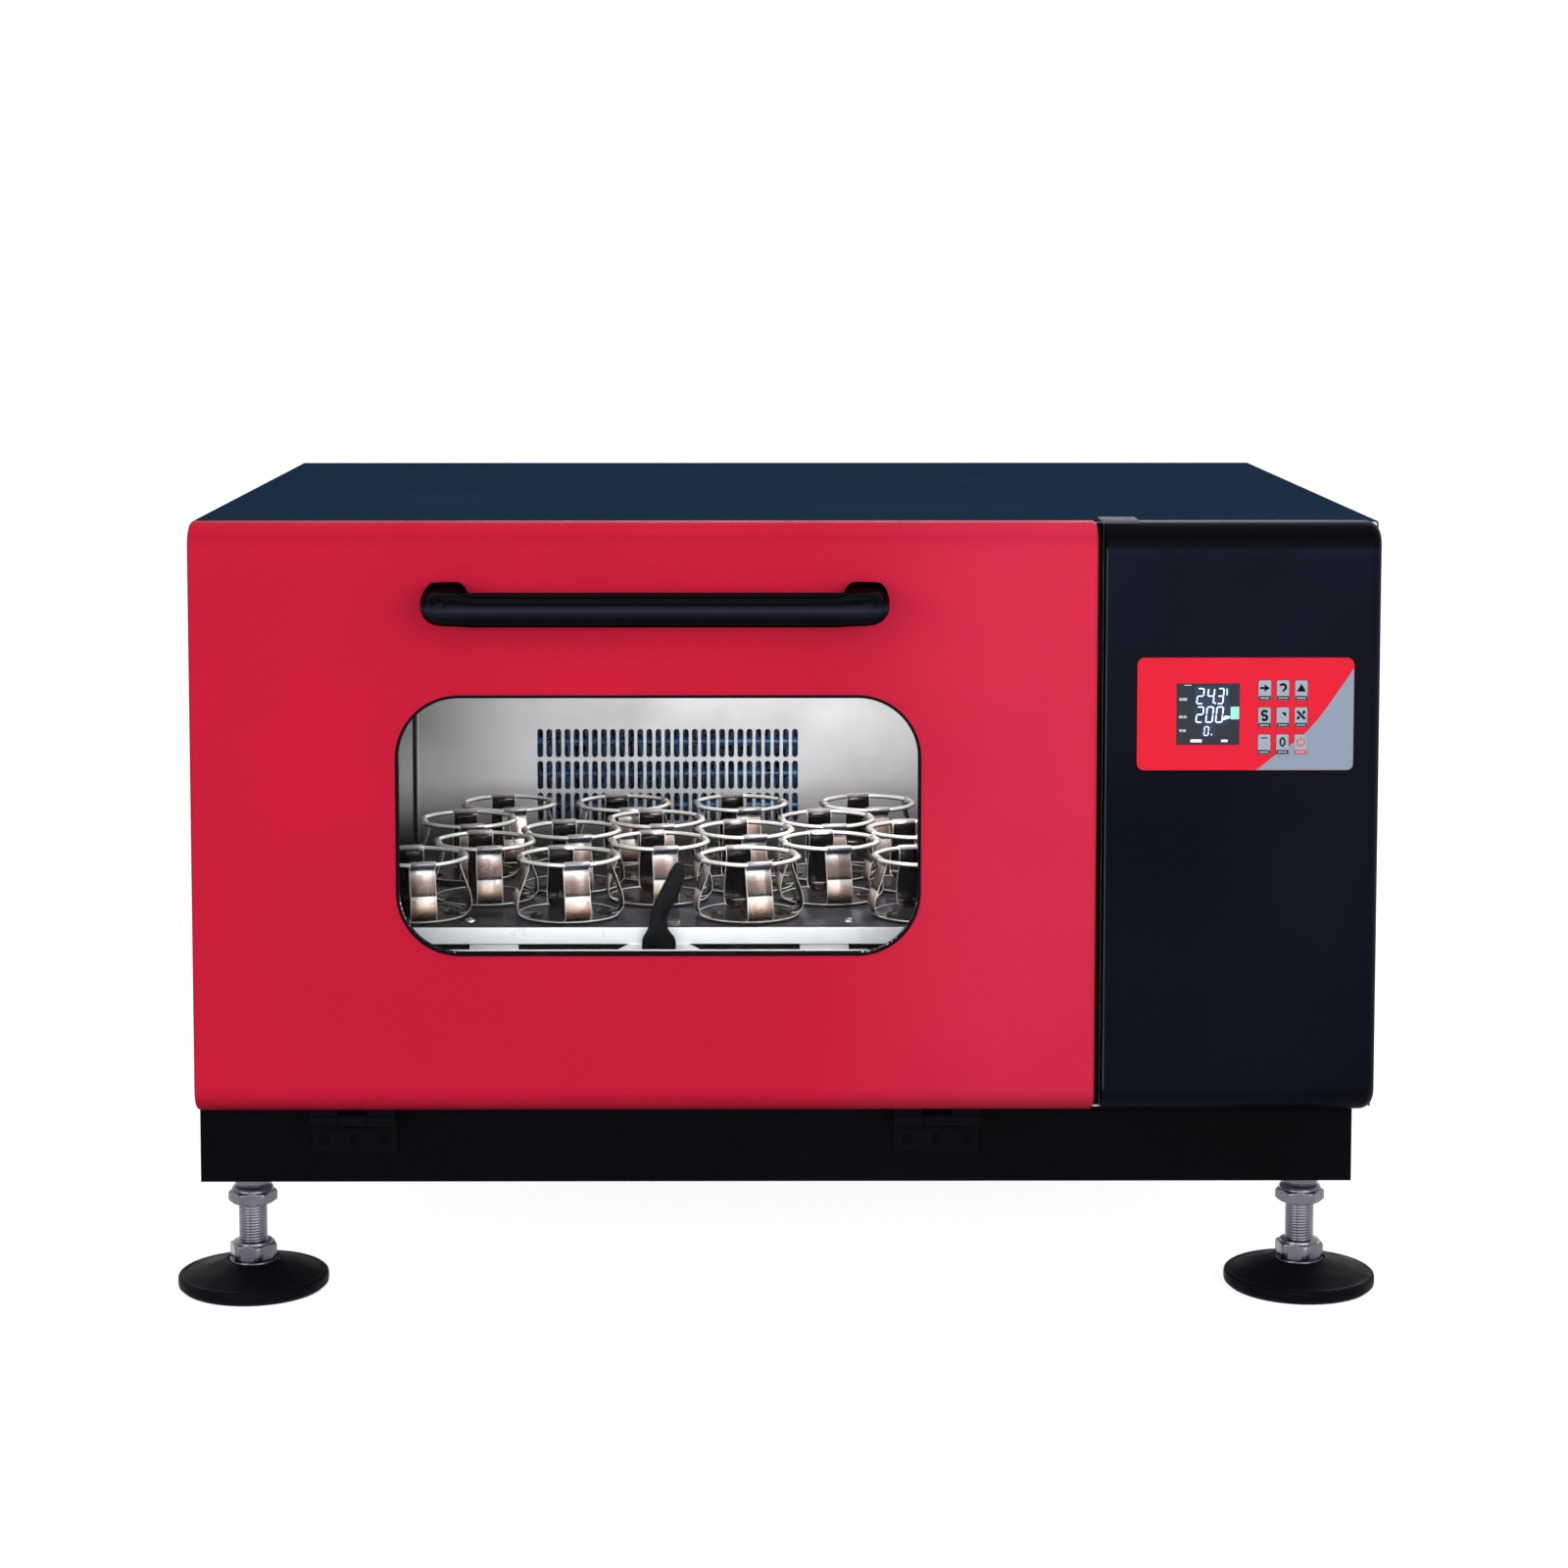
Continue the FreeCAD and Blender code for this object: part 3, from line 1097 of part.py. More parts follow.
def levelling_foot(name, across, back):
    """Rubber pad with its threaded stud, collar and turning hexagon."""
    pad = turned("foot_pad_" + name, (across, back, "0"),
                 (("0", "0"), ("pad_radius - pad_chamfer", "0"), ("pad_radius", "pad_chamfer"),
                  ("pad_radius", "pad_rim"), ("pad_neck", "pad_top"),
                  ("collar_radius", "pad_top"), ("collar_radius", "collar_low"), ("0", "collar_low")))
    stud = turned("foot_stud_" + name, (across, back, "0"),
                  (("0", "collar_low"), ("collar_radius", "collar_low"),
                   ("collar_radius", "turn_nut_low"), ("stud_radius", "turn_nut_low"),
                   ("stud_radius", "foot_height + stud_rise"), ("0", "foot_height + stud_rise")))
    add(stud, "XY", "turn_nut_low", "turn_nut_low + turn_nut_height", hexagon("0", "0", "nut_flats"))
    return gather("levelling_foot_" + name, [pad, stud])


def foot_lock_nuts():
    """Four hexagon nuts with collars, locked against the plinth."""
    nuts = []
    for name, across, back in foot_spots():
        nut = prism("lock_nut_" + name, "XY", "jam_nut_high - jam_nut_height", "jam_nut_high",
                    hexagon(across, back, "nut_flats"), circle(across, back, "stud_radius + bore_gap"))
        add(nut, "XY", "jam_nut_high", "foot_height",
            circle(across, back, "jam_collar_radius"), circle(across, back, "stud_radius + bore_gap"))
        nuts.append(nut)
    return gather("foot_lock_nuts", nuts)


# Shaker drive

def bearing_housings():
    """Three upright bearing housings on the base pan."""
    return gather("bearing_housings", [
        turned("housing_" + name, (across, "drive_y", "pan_top"),
               (("bearing_radius", "0"), ("housing_flange", "0"), ("housing_flange", "housing_flange_thick"),
                ("housing_radius", "housing_flange_thick * 2"), ("housing_radius", height),
                ("bearing_radius", height)))
        for name, across, radius, disc, height in shaft_spots()])


def shaft_bearings():
    """Two bearings in each housing."""
    rings = []
    for name, across, radius, disc, height in shaft_spots():
        for level, low in (("low", "0"), ("high", "%s - bearing_height" % height)):
            rings.append(turned("bearing_%s_%s" % (name, level), (across, "drive_y", "pan_top + " + low),
                                (("%s + bore_gap" % radius, "0"), ("bearing_radius", "0"),
                                 ("bearing_radius", "bearing_height"),
                                 ("%s + bore_gap" % radius, "bearing_height"))))
    return gather("shaft_bearings", rings)


def crank(label, across, radius, disc):
    """A shaft with a disc above the chamber floor and an eccentric pin on it."""
    shaft = prism(label, "XY", "pan_top + moving_gap", "disc_low", circle(across, "drive_y", radius))
    add(shaft, "XY", "disc_low", "disc_high", circle(across, "drive_y", disc))
    add(shaft, "XY", "disc_high", "pin_high", circle(across + " - orbit_radius", "drive_y", "pin_radius"))
    return shaft


def pulley(label, across, back, seat, bore):
    """A flanged belt pulley on a shaft."""
    rim = seat + " + pulley_flange"
    return turned(label, (across, back, "pulley_low"),
                  ((bore, "0"), (rim, "0"), (rim, "pulley_flange_thick"), (seat, "pulley_flange_thick"),
                   (seat, "pulley_height - pulley_flange_thick"), (rim, "pulley_height - pulley_flange_thick"),
                   (rim, "pulley_height"), (bore, "pulley_height")))


def drive_belt():
    """Flat belt round both pulleys."""
    gap = " + moving_gap"
    thick = " + moving_gap + belt_thick"
    spots = ("drive_x", "drive_y"), ("drive_x", "motor_y")
    return prism("drive_belt", "XY", "pulley_low + pulley_flange_thick + belt_play",
                 "pulley_high - pulley_flange_thick - belt_play",
                 belt_loop(spots[0], "drive_pulley_radius" + thick, spots[1], "motor_pulley_radius" + thick),
                 belt_loop(spots[0], "drive_pulley_radius" + gap, spots[1], "motor_pulley_radius" + gap))


def drive_motor():
    """Flanged motor can on the base pan, with a bore for its turning shaft."""
    top = "drive_housing_height"
    return turned("drive_motor", ("drive_x", "motor_y", "pan_top"),
                  (("motor_shaft + bore_gap", "0"), ("motor_radius + 2 * motor_rib", "0"),
                   ("motor_radius + 2 * motor_rib", "motor_rib"), ("motor_radius", "motor_rib"),
                   ("motor_radius", "%s - motor_rib" % top), ("motor_radius - motor_rib", top),
                   ("motor_shaft + bore_gap", top)))


def motor_pulley():
    """Small pulley with the motor's shaft."""
    wheel = pulley("motor_pulley", "drive_x", "motor_y", "motor_pulley_radius", "motor_shaft / 2")
    add(wheel, "XY", "-pulley_lift - drive_housing_height + moving_gap", "pulley_height",
        circle("0", "0", "motor_shaft"))
    return wheel


# Carriage, tray and clamps

def shaker_carriage():
    """Plate on the three eccentric pins, with rails under the tray and a tongue for its lock."""
    left, right = "tray_left + carriage_inset", "tray_right - carriage_inset"
    front = "tray_front + carriage_front"
    plate = prism("shaker_carriage", "XY", "carriage_low", "carriage_high",
                  rectangle(left, right, front, "tray_rear - carriage_front", "tray_corner"))
    for way in ("-", "+"):
        middle = "tray_x %s rail_apart / 2" % way
        add(plate, "XY", "carriage_low", "tray_top - tray_thick",
            rectangle(middle + " - rail_width / 2", middle + " + rail_width / 2",
                      front + " + rail_width", "tray_rear - carriage_front - rail_width"))
        middle = "tray_x %s arm_apart / 2" % way
        add(plate, "XY", "carriage_low", "carriage_low + arm_height",
            rectangle(middle + " - arm_width / 2", middle + " + arm_width / 2",
                      "tray_front + arm_setback", front + " + arm_width"))
    add(plate, "XY", "carriage_low", "carriage_low + arm_height",
        rectangle("tray_x - tongue_width / 2", "tray_x + tongue_width / 2",
                  "tray_front", front + " + arm_width"))
    holes = [circle("tray_x + idler_apart * %d" % turn, "drive_y", "pin_radius + bore_gap")
             for turn in (-1, 0, 1)]
    holes += [circle("tray_x %s light_hole_apart" % way, "drive_y %s light_hole_apart" % side, "light_hole")
              for way in ("-", "+") for side in ("-", "+")]
    cut(plate, "XY", "carriage_low - overrun", "tray_top + overrun", *holes)
    cut(plate, "XZ", "tray_front - overrun", "tray_front + carriage_front / 2",
        circle("tray_x", "lock_z", "lock_pin + bore_gap"))
    return plate


def tray():
    """Flat platform with a turned down edge."""
    platform = prism("tray", "XY", "tray_top - tray_flange", "tray_top",
                     rectangle("tray_left", "tray_right", "tray_front", "tray_rear", "tray_corner"))
    cut(platform, "XY", "tray_top - tray_flange - overrun", "tray_top - tray_thick",
        rectangle("tray_left + tray_thick", "tray_right - tray_thick",
                  "tray_front + tray_thick", "tray_rear - tray_thick", "tray_corner - tray_thick"))
    return platform


def clamp_spots():
    """The clamp centres on the tray, in millimetres."""
    step = number("clamp_diameter")
    middle = FreeCAD.Vector(number("tray_x"), number("drive_y"), number("tray_top"))
    return [middle + FreeCAD.Vector(across * step, back * step, 0)
            for back, row in CLAMP_ROW_SHARES for across in row]


def clamp_bases():
    """Round foot of each clamp, screwed to the tray."""
    base = turned("clamp_base", ("0", "0", "0"),
                  (("clamp_screw_hole", "0"), ("clamp_diameter / 2", "0"),
                   ("clamp_diameter / 2", "clamp_base_thick"), ("clamp_screw_hole", "clamp_base_thick")))
    doc.recompute()
    return group_of("clamp_bases", [base.Shape.translated(spot) for spot in clamp_spots()])


def clamp_leaves():
    """Spring leaves: out at the foot, in at the waist and flared again at the tip."""
    line = (("clamp_foot_radius", "clamp_base_thick"), ("clamp_knee_radius", "clamp_knee_height"),
            ("clamp_waist_radius", "clamp_waist_height"), ("clamp_neck_radius", "clamp_neck_height"),
            ("clamp_tip_radius", "clamp_tip_height"))
    outer = [(radius + " + clamp_leaf_thick / 2", height) for radius, height in line]
    inner = [(radius + " - clamp_leaf_thick / 2", height) for radius, height in reversed(line)]
    leaf = prism("clamp_leaf", "XZ", "-clamp_leaf_width / 2", "clamp_leaf_width / 2",
                 polygon(*outer, *inner))
    doc.recompute()
    count = int(number("clamp_leaves"))
    shapes = []
    for spot in clamp_spots():
        for turn in range(count):
            angle = number("clamp_turn") + 360 * turn / count
            way = FreeCAD.Rotation(FreeCAD.Vector(0, 0, 1), angle)
            copy = leaf.Shape.copy()
            copy.Placement = FreeCAD.Placement(spot, way)
            shapes.append(copy)
    return group_of("clamp_leaves", shapes)


def wire_ring():
    """A ring bent from straight lengths of wire, as one solid about the origin."""
    sides, section = int(number("ring_sides")), int(number("wire_sides"))
    middle, wire, level = number("ring_radius"), number("ring_wire"), number("ring_height")
    start = math.radians(number("clamp_turn"))

    def spot(turn, side):
        around = start + math.tau * turn / sides
        beside = math.tau * side / section
        reach = middle + wire * math.cos(beside)
        return FreeCAD.Vector(reach * math.cos(around), reach * math.sin(around),
                              level + wire * math.sin(beside))

    faces = []
    for turn in range(sides):
        for side in range(section):
            corners = [spot(turn, side), spot(turn + 1, side), spot(turn + 1, side + 1), spot(turn, side + 1)]
            faces.append(Part.Face(Part.makePolygon(corners + corners[:1])))
    ring = Part.Solid(Part.Shell(faces))
    if ring.Volume < 0:
        ring.reverse()
    return ring


def clamp_rings():
    """Spring wire ring round the neck of each clamp."""
    ring = wire_ring()
    return group_of("clamp_rings", [ring.translated(spot) for spot in clamp_spots()])


def lock_plate():
    """Strip with pointed ends under the tray's front edge."""
    half, end = "lock_plate_width / 2", "lock_plate_width / 2 - lock_point"
    plate = prism("lock_plate", "XZ", "lock_front", "lock_back",
                  polygon(("tray_x - " + half, "lock_z"),
                          ("tray_x - (%s)" % end, "lock_z - lock_plate_height / 2"),
                          ("tray_x + (%s)" % end, "lock_z - lock_plate_height / 2"),
                          ("tray_x + " + half, "lock_z"),
                          ("tray_x + (%s)" % end, "lock_z + lock_plate_height / 2"),
                          ("tray_x - (%s)" % end, "lock_z + lock_plate_height / 2")),
                  circle("tray_x", "lock_z", "lock_pin + bore_gap"))
    return plate


def lock_lever():
    """Black lever with its pivot, leaning to the right over the tray's front edge."""
    lever = prism("lock_lever", "XZ", "lever_front", "lever_back",
                  polygon(("tray_x - lever_width / 2", "lock_z - lever_foot"),
                          ("tray_x + lever_width / 2", "lock_z - lever_foot"),
                          ("tray_x + lever_width / 2", "lock_z + lever_height"),
                          ("tray_x + lever_lean + lever_tip_width / 2", "lock_z + lever_tip_height"),
                          ("tray_x + lever_lean - lever_tip_width / 2", "lock_z + lever_tip_height"),
                          ("tray_x - lever_width / 2", "lock_z + lever_height - lever_lean")))
    add(lever, "XZ", "lever_back", "tray_front + carriage_front / 2 - moving_gap",
        circle("tray_x", "lock_z", "lock_pin"))
    return lever


# Air fan and cooling

def fan_impeller():
    """Wheel of swept blades on a back plate, on the motor's shaft."""
    wheel = turned("fan_impeller", ("fan_x", "fan_back", "fan_z"),
                   (("0", "0"), ("fan_radius", "0"), ("fan_radius", "fan_plate"), ("fan_hub", "fan_plate"),
                    ("fan_hub", "fan_depth - fan_plate"), ("0", "fan_depth - fan_plate")), Z_TO_FRONT)
    inner = "(fan_radius - blade_chord)"
    outer_x, outer_y = "fan_radius * cos(blade_sweep)", "fan_radius * sin(blade_sweep)"
    blade = add(wheel, "XY", "fan_plate / 2", "fan_depth",
                polygon((inner, "0"), (inner + " + blade_thick", "0"),
                        (outer_x, outer_y), (outer_x + " - blade_thick", outer_y)))
    turn_round(wheel, blade, "fan_blades")
    add(wheel, "XY", "-fan_offset", "0", circle("0", "0", "fan_shaft"))
    return wheel


def fan_motor():
    """Motor of the air fan, on the liner's rear wall."""
    return turned("fan_motor", ("fan_x", "liner_rear", "fan_z"),
                  (("fan_shaft + bore_gap", "0"), ("fan_motor_radius", "0"),
                   ("fan_motor_radius", "liner_rear - fan_back - 2 * fan_plate"),
                   ("fan_shaft + bore_gap", "liner_rear - fan_back - 2 * fan_plate")), Z_TO_FRONT)


def evaporator_coil():
    """Cooling fins hung on the slotted panel by two lips, and the tube brazed across them."""
    fins = prism("evaporator_fins", "XY", "fin_low", "fin_low + fin_block_height",
                 rectangle("fin_left", "fin_left + fin_block_width",
                           "fin_front", "fin_front + fin_block_depth"))
    count = str(int(number("fin_block_width / fin_step")))
    slot = cut(fins, "XY", "fin_low - overrun", "fin_low + fin_block_height + overrun",
               rectangle("fin_left + (fin_step - fin_gap)", "fin_left + fin_step",
                         "fin_front - overrun", "fin_front + fin_block_depth - fin_root"))
    repeat(fins, slot, ("H_Axis", "fin_step", count))
    for low, high in (("fin_low", "fin_low + fin_lip"),
                      ("fin_low + fin_block_height - fin_lip", "fin_low + fin_block_height")):
        add(fins, "XY", low, high,
            rectangle("fin_left", "fin_left + fin_block_width", "duct_face + sheet", "fin_front"))
    return gather("evaporator_coil", [fins, coil_tube()])


def coil_tube():
    """Coil tube in three level runs joined by bends."""
    radius, step = number("coil_radius"), number("coil_step")
    left = number("fin_left - coil_overhang")
    right = number("fin_left + fin_block_width + coil_overhang")
    depth = number("coil_front + coil_radius")
    middle = number("slots_level")
    low, high = middle - step, middle + step
    bend = step / 2

    def spot(across, up):
        return FreeCAD.Vector(across, depth, up)

    path = Part.Wire([
        Part.makeLine(spot(left, low), spot(right, low)),
        Part.Arc(spot(right, low), spot(right + bend, low + bend), spot(right, middle)).toShape(),
        Part.makeLine(spot(right, middle), spot(left, middle)),
        Part.Arc(spot(left, middle), spot(left - bend, middle + bend), spot(left, high)).toShape(),
        Part.makeLine(spot(left, high), spot(right, high))])
    section = Part.Wire(Part.makeCircle(radius, spot(left, low), FreeCAD.Vector(1, 0, 0)))
    tube = path.makePipeShell([section], True, False)
    return group_of("coil_tube", tube.Solids)


def compressor():
    """Sealed compressor can on the base pan of the machine room."""
    high = "compressor_foot + compressor_height"
    return turned("compressor", ("compressor_x", "compressor_y", "pan_top"),
                  (("0", "0"), ("compressor_radius", "0"), ("compressor_radius", "compressor_foot / 2"),
                   ("compressor_dome", "compressor_foot"),
                   ("compressor_radius", "compressor_foot + compressor_shoulder"),
                   ("compressor_radius", high + " - compressor_shoulder"),
                   ("compressor_dome", high + " - compressor_crown"), ("0", high)))


def condenser():
    """Finned condenser in front of the rear vents, standing on the block of the rear foot."""
    left = "compressor_x - condenser_width / 2"
    rear = "panel_back - sheet - condenser_rear"
    low = "pan_top + foot_boss_height"
    block = prism("condenser", "XY", low, low + " + condenser_height",
                  rectangle(left, left + " + condenser_width", rear + " - condenser_depth", rear))
    count = str(int(number("condenser_width / condenser_step")))
    slot = cut(block, "XY", low + " - overrun", low + " + condenser_height + overrun",
               rectangle(left + " + (condenser_step - condenser_gap)", left + " + condenser_step",
                         rear + " - condenser_depth - overrun", rear + " - condenser_root"))
    repeat(block, slot, ("H_Axis", "condenser_step", count))
    return block


def power_inlet():
    """Mains socket and the frame of the mains switch, one flanged unit through the rear panel."""
    inlet = prism("power_inlet", "XZ", "panel_back", "rear_reach",
                  rectangle("inlet_x - inlet_width / 2", "inlet_x + inlet_width / 2",
                            "inlet_z - inlet_height / 2", "rocker_z + rocker_height / 2 + rocker_frame"))
    add(inlet, "XZ", "panel_back - inlet_body_depth", "panel_back",
        rectangle("inlet_x - inlet_width / 2 + inlet_body_margin",
                  "inlet_x + inlet_width / 2 - inlet_body_margin",
                  "inlet_z - inlet_height / 2 + inlet_body_margin",
                  "inlet_z + inlet_height / 2 - inlet_body_margin"))
    wall = "inlet_body_margin + inlet_socket_wall"
    cut(inlet, "XZ", "rear_reach - inlet_socket_depth", "rear_reach + overrun",
        rectangle("inlet_x - inlet_width / 2 + " + wall, "inlet_x + inlet_width / 2 - (%s)" % wall,
                  "inlet_z - inlet_height / 2 + " + wall, "inlet_z + inlet_height / 2 - (%s)" % wall))
    add(inlet, "XZ", "panel_back - rocker_body", "panel_back",
        rectangle("inlet_x - rocker_width / 2 - rocker_frame / 2",
                  "inlet_x + rocker_width / 2 + rocker_frame / 2",
                  "rocker_z - rocker_height / 2 - rocker_frame / 2",
                  "rocker_z + rocker_height / 2 + rocker_frame / 2"))
    cut(inlet, "XZ", "panel_back - rocker_well", "rear_reach + overrun",
        rectangle("inlet_x - rocker_width / 2 - moving_gap", "inlet_x + rocker_width / 2 + moving_gap",
                  "rocker_z - rocker_height / 2 - moving_gap", "rocker_z + rocker_height / 2 + moving_gap"))
    return inlet


def mains_rocker():
    """Rocker of the mains switch, tilted on its pivot."""
    low, high = "-rocker_height / 2 + moving_gap", "rocker_height / 2 - moving_gap"
    rocker = prism("mains_rocker", "YZ", "-rocker_width / 2", "rocker_width / 2",
                   polygon(("0", low), ("rocker_depth / 2", low), ("rocker_waist", "0"),
                           ("rocker_depth / 2", high), ("0", high), ("-rocker_depth / 2", "0")))
    place(rocker, ("inlet_x", "panel_back - rocker_depth / 2", "rocker_z"),
          FreeCAD.Rotation(FreeCAD.Vector(1, 0, 0), number("rocker_tilt")))
    return rocker


def build():
    """Every node of the object, in the order it would be put together."""
    nodes = [base_pan(), plinth_frame(), cabinet_shell(), rear_panel(), front_frame(), chamber_liner(),
             duct_panel(), foam_jacket(), column_cover(), column_tab(), keypad_panel(),
             display_window(), control_board()]
    nodes += [key(name, across, up) for name, across, up in key_spots()]
    nodes += [door_skin(), door_liner(), outer_pane(), inner_pane(), window_gasket(), door_seal(),
              door_handle(), hinge_upper_leaves(), hinge_lower_leaves(), hinge_screws()]
    nodes += [levelling_foot(name, across, back) for name, across, back in foot_spots()]
    nodes.append(foot_lock_nuts())
    nodes += [bearing_housings(), shaft_bearings(), drive_motor(), motor_pulley(), drive_belt(),
              pulley("drive_pulley", "drive_x", "drive_y", "drive_pulley_radius", "shaft_radius")]
    names = {"drive": "crank_shaft", "left": "idler_crank_left", "right": "idler_crank_right"}
    nodes += [crank(names[name], across, radius, disc) for name, across, radius, disc, height in shaft_spots()]
    nodes += [shaker_carriage(), tray(), clamp_bases(), clamp_leaves(), clamp_rings(), lock_plate(),
              lock_lever()]
    nodes += [fan_motor(), fan_impeller(), evaporator_coil(), compressor(), condenser(),
              power_inlet(), mains_rocker()]
    return nodes


def check(nodes):
    """Stop where an object failed or a node has no sound solid."""
    for item in doc.Objects:
        if "Invalid" in item.State or "Error" in item.State:
            raise RuntimeError("%s did not build: %s" % (item.Label, item.State))
    for node in nodes:
        if node.Shape.isNull() or not node.Shape.isValid() or not node.Shape.Solids:
            raise RuntimeError("%s has no sound shape" % node.Label)


nodes = build()
doc.recompute()
check(nodes)
os.makedirs("parts", exist_ok=True)
for node in nodes:
    node.Shape.exportStep("parts/%s.step" % node.Label)
    print(node.Label, len(node.Shape.Solids), "solids", round(node.Shape.Volume / 1000, 1), "cm3")
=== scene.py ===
"""Dresses the incubated benchtop shaker: camera, light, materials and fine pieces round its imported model.

Places and sizes are in millimetres until a mesh is made. +X is right, -Y is the front, +Z is up.
"""
import math

import bmesh
import bpy
from mathutils import Matrix, Vector


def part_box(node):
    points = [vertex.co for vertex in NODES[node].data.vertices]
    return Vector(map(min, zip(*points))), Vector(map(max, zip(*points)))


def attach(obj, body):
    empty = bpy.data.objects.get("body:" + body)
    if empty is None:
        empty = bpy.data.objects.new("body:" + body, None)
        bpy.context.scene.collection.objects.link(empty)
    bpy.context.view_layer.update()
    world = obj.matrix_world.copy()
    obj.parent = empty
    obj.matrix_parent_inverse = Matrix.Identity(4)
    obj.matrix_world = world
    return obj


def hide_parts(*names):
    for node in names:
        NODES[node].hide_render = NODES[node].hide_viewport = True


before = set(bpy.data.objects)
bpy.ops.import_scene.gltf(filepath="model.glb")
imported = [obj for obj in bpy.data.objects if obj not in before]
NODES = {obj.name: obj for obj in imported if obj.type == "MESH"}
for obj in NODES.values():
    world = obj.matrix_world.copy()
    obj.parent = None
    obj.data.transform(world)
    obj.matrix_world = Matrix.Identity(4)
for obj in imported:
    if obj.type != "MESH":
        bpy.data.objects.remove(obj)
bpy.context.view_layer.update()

MM = 0.001
scene = bpy.context.scene


# Places of the CAD nodes

class Box:
    """A CAD node's box at rest, in mm."""

    def __init__(self, node):
        low, high = ([round(value / MM, 2) for value in corner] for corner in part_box(node))
        self.left, self.front, self.low = low
        self.right, self.back, self.top = high
        self.middle = [(one + other) / 2 for one, other in zip(low, high)]


TRAY, DUCT, HANDLE, DOOR = Box("tray"), Box("duct_panel"), Box("door_handle"), Box("door_skin")
COLUMN, PANEL, DISPLAY = Box("column_cover"), Box("keypad_panel"), Box("display_window")
REAR, INLET, LOCK = Box("rear_panel"), Box("power_inlet"), Box("lock_plate")
CARRIAGE, SCREWS, LINER = Box("shaker_carriage"), Box("hinge_screws"), Box("door_liner")
DRIVE_X, DRIVE_Y = TRAY.middle[:2]


# Shapes: each is (points in mm, faces)

def join(*shapes):
    """Several shapes as one."""
    points, faces = [], []
    for some, those in shapes:
        start = len(points)
        points += some
        faces += [[start + index for index in face] for face in those]
    return points, faces


def moved(shape, matrix):
    """The shape under a 4x4 matrix."""
    return [tuple(matrix @ Vector(point)) for point in shape[0]], shape[1]


def at(x=0, y=0, z=0):
    """A shift."""
    return Matrix.Translation((x, y, z))


def turn(degrees, axis="Z"):
    """A rotation about an axis."""
    return Matrix.Rotation(math.radians(degrees), 4, axis)


TO_FRONT = turn(90, "X")   # a shape's own +Z ends up along -Y
TO_REAR = turn(-90, "X")   # a shape's own +Z ends up along +Y


def lathe(profile, sides=48):
    """A turned shape about Z from (radius, height) corners; a radius of zero closes an end."""
    points, faces, rows = [], [], []
    for radius, height in profile:
        if radius == 0:
            rows.append([len(points)] * sides)
            points.append((0, 0, height))
            continue
        rows.append(range(len(points), len(points) + sides))
        for k in range(sides):
            a = math.tau * k / sides
            points.append((radius * math.cos(a), radius * math.sin(a), height))
    for low, high in zip(rows, rows[1:]):
        for k in range(sides):
            n = (k + 1) % sides
            corners = [low[k], low[n], high[n], high[k]]
            face = [c for i, c in enumerate(corners) if c not in corners[:i]]
            if len(face) > 2:
                faces.append(face)
    return points, faces


def loft(rings, closed=False, capped=True):
    """Skins rings of equally many points."""
    count = len(rings[0])
    points = [tuple(point) for ring in rings for point in ring]
    faces = []
    for row in range(len(rings) if closed else len(rings) - 1):
        low, high = row * count, ((row + 1) % len(rings)) * count
        for k in range(count):
            n = (k + 1) % count
            faces.append([low + k, low + n, high + n, high + k])
    if capped and not closed:
        faces.append(list(range(count))[::-1])
        faces.append([len(points) - count + k for k in range(count)])
    return points, faces


def tube(path, radius, sides=10, closed=False):
    """A round bar along a path that stays near a plane."""
    path = [Vector(point) for point in path]
    rings = []
    for k, point in enumerate(path):
        before = path[k - 1] if (closed or k) else path[0]
        after = path[(k + 1) % len(path)] if (closed or k < len(path) - 1) else path[-1]
        along = (after - before).normalized()
        side = along.orthogonal() if abs(along.z) > 0.95 else along.cross((0, 0, 1))
        side.normalize()
        up = side.cross(along)
        rings.append([point + radius * (math.cos(a) * side + math.sin(a) * up)
                      for a in (math.tau * s / sides for s in range(sides))])
    return loft(rings, closed)


def arc(x, y, radius, start, end, steps):
    """Points along part of a circle, its angles in degrees."""
    angles = [math.radians(start + (end - start) * k / steps) for k in range(steps + 1)]
    return [(x + radius * math.cos(a), y + radius * math.sin(a)) for a in angles]


def rounded(left, right, low, high, radius, steps=8):
    """Corner points of an upright box with round corners."""
    corners = ((right - radius, high - radius, 0), (left + radius, high - radius, 90),
               (left + radius, low + radius, 180), (right - radius, low + radius, 270))
    return [point for x, y, start in corners for point in arc(x, y, radius, start, start + 90, steps)]


def around(x, y, wide, tall, radius, steps):
    """A box with round corners about its middle, from its half sizes."""
    return rounded(x - wide, x + wide, y - tall, y + tall, radius, steps)


def ring_of(x, y, radius, sides=24, squash=1.0):
    """A circle, or an ellipse where it is squashed."""
    angles = [math.tau * k / sides for k in range(sides)]
    return [(x + radius * math.cos(a), y + radius * squash * math.sin(a)) for a in angles]


def raised(outline, level):
    """An outline's points at a level of Z."""
    return [(x, y, level) for x, y in outline]


def arc_band(x, y, radius, width, start, end, steps=16):
    """A curved stroke as a closed outline."""
    outer = arc(x, y, radius + width / 2, start, end, steps)
    return outer + arc(x, y, radius - width / 2, start, end, steps)[::-1]


def bar(x0, y0, x1, y1, width):
    """A straight stroke as a closed outline."""
    along = Vector((x1 - x0, y1 - y0)).normalized() * width / 2
    side = Vector((-along.y, along.x))
    ends = Vector((x0, y0)), Vector((x1, y1))
    return [tuple(ends[0] + side), tuple(ends[1] + side), tuple(ends[1] - side), tuple(ends[0] - side)]


def linked(name, data):
    """A new object in the scene."""
    thing = bpy.data.objects.new(name, data)
    scene.collection.objects.link(thing)
    return thing


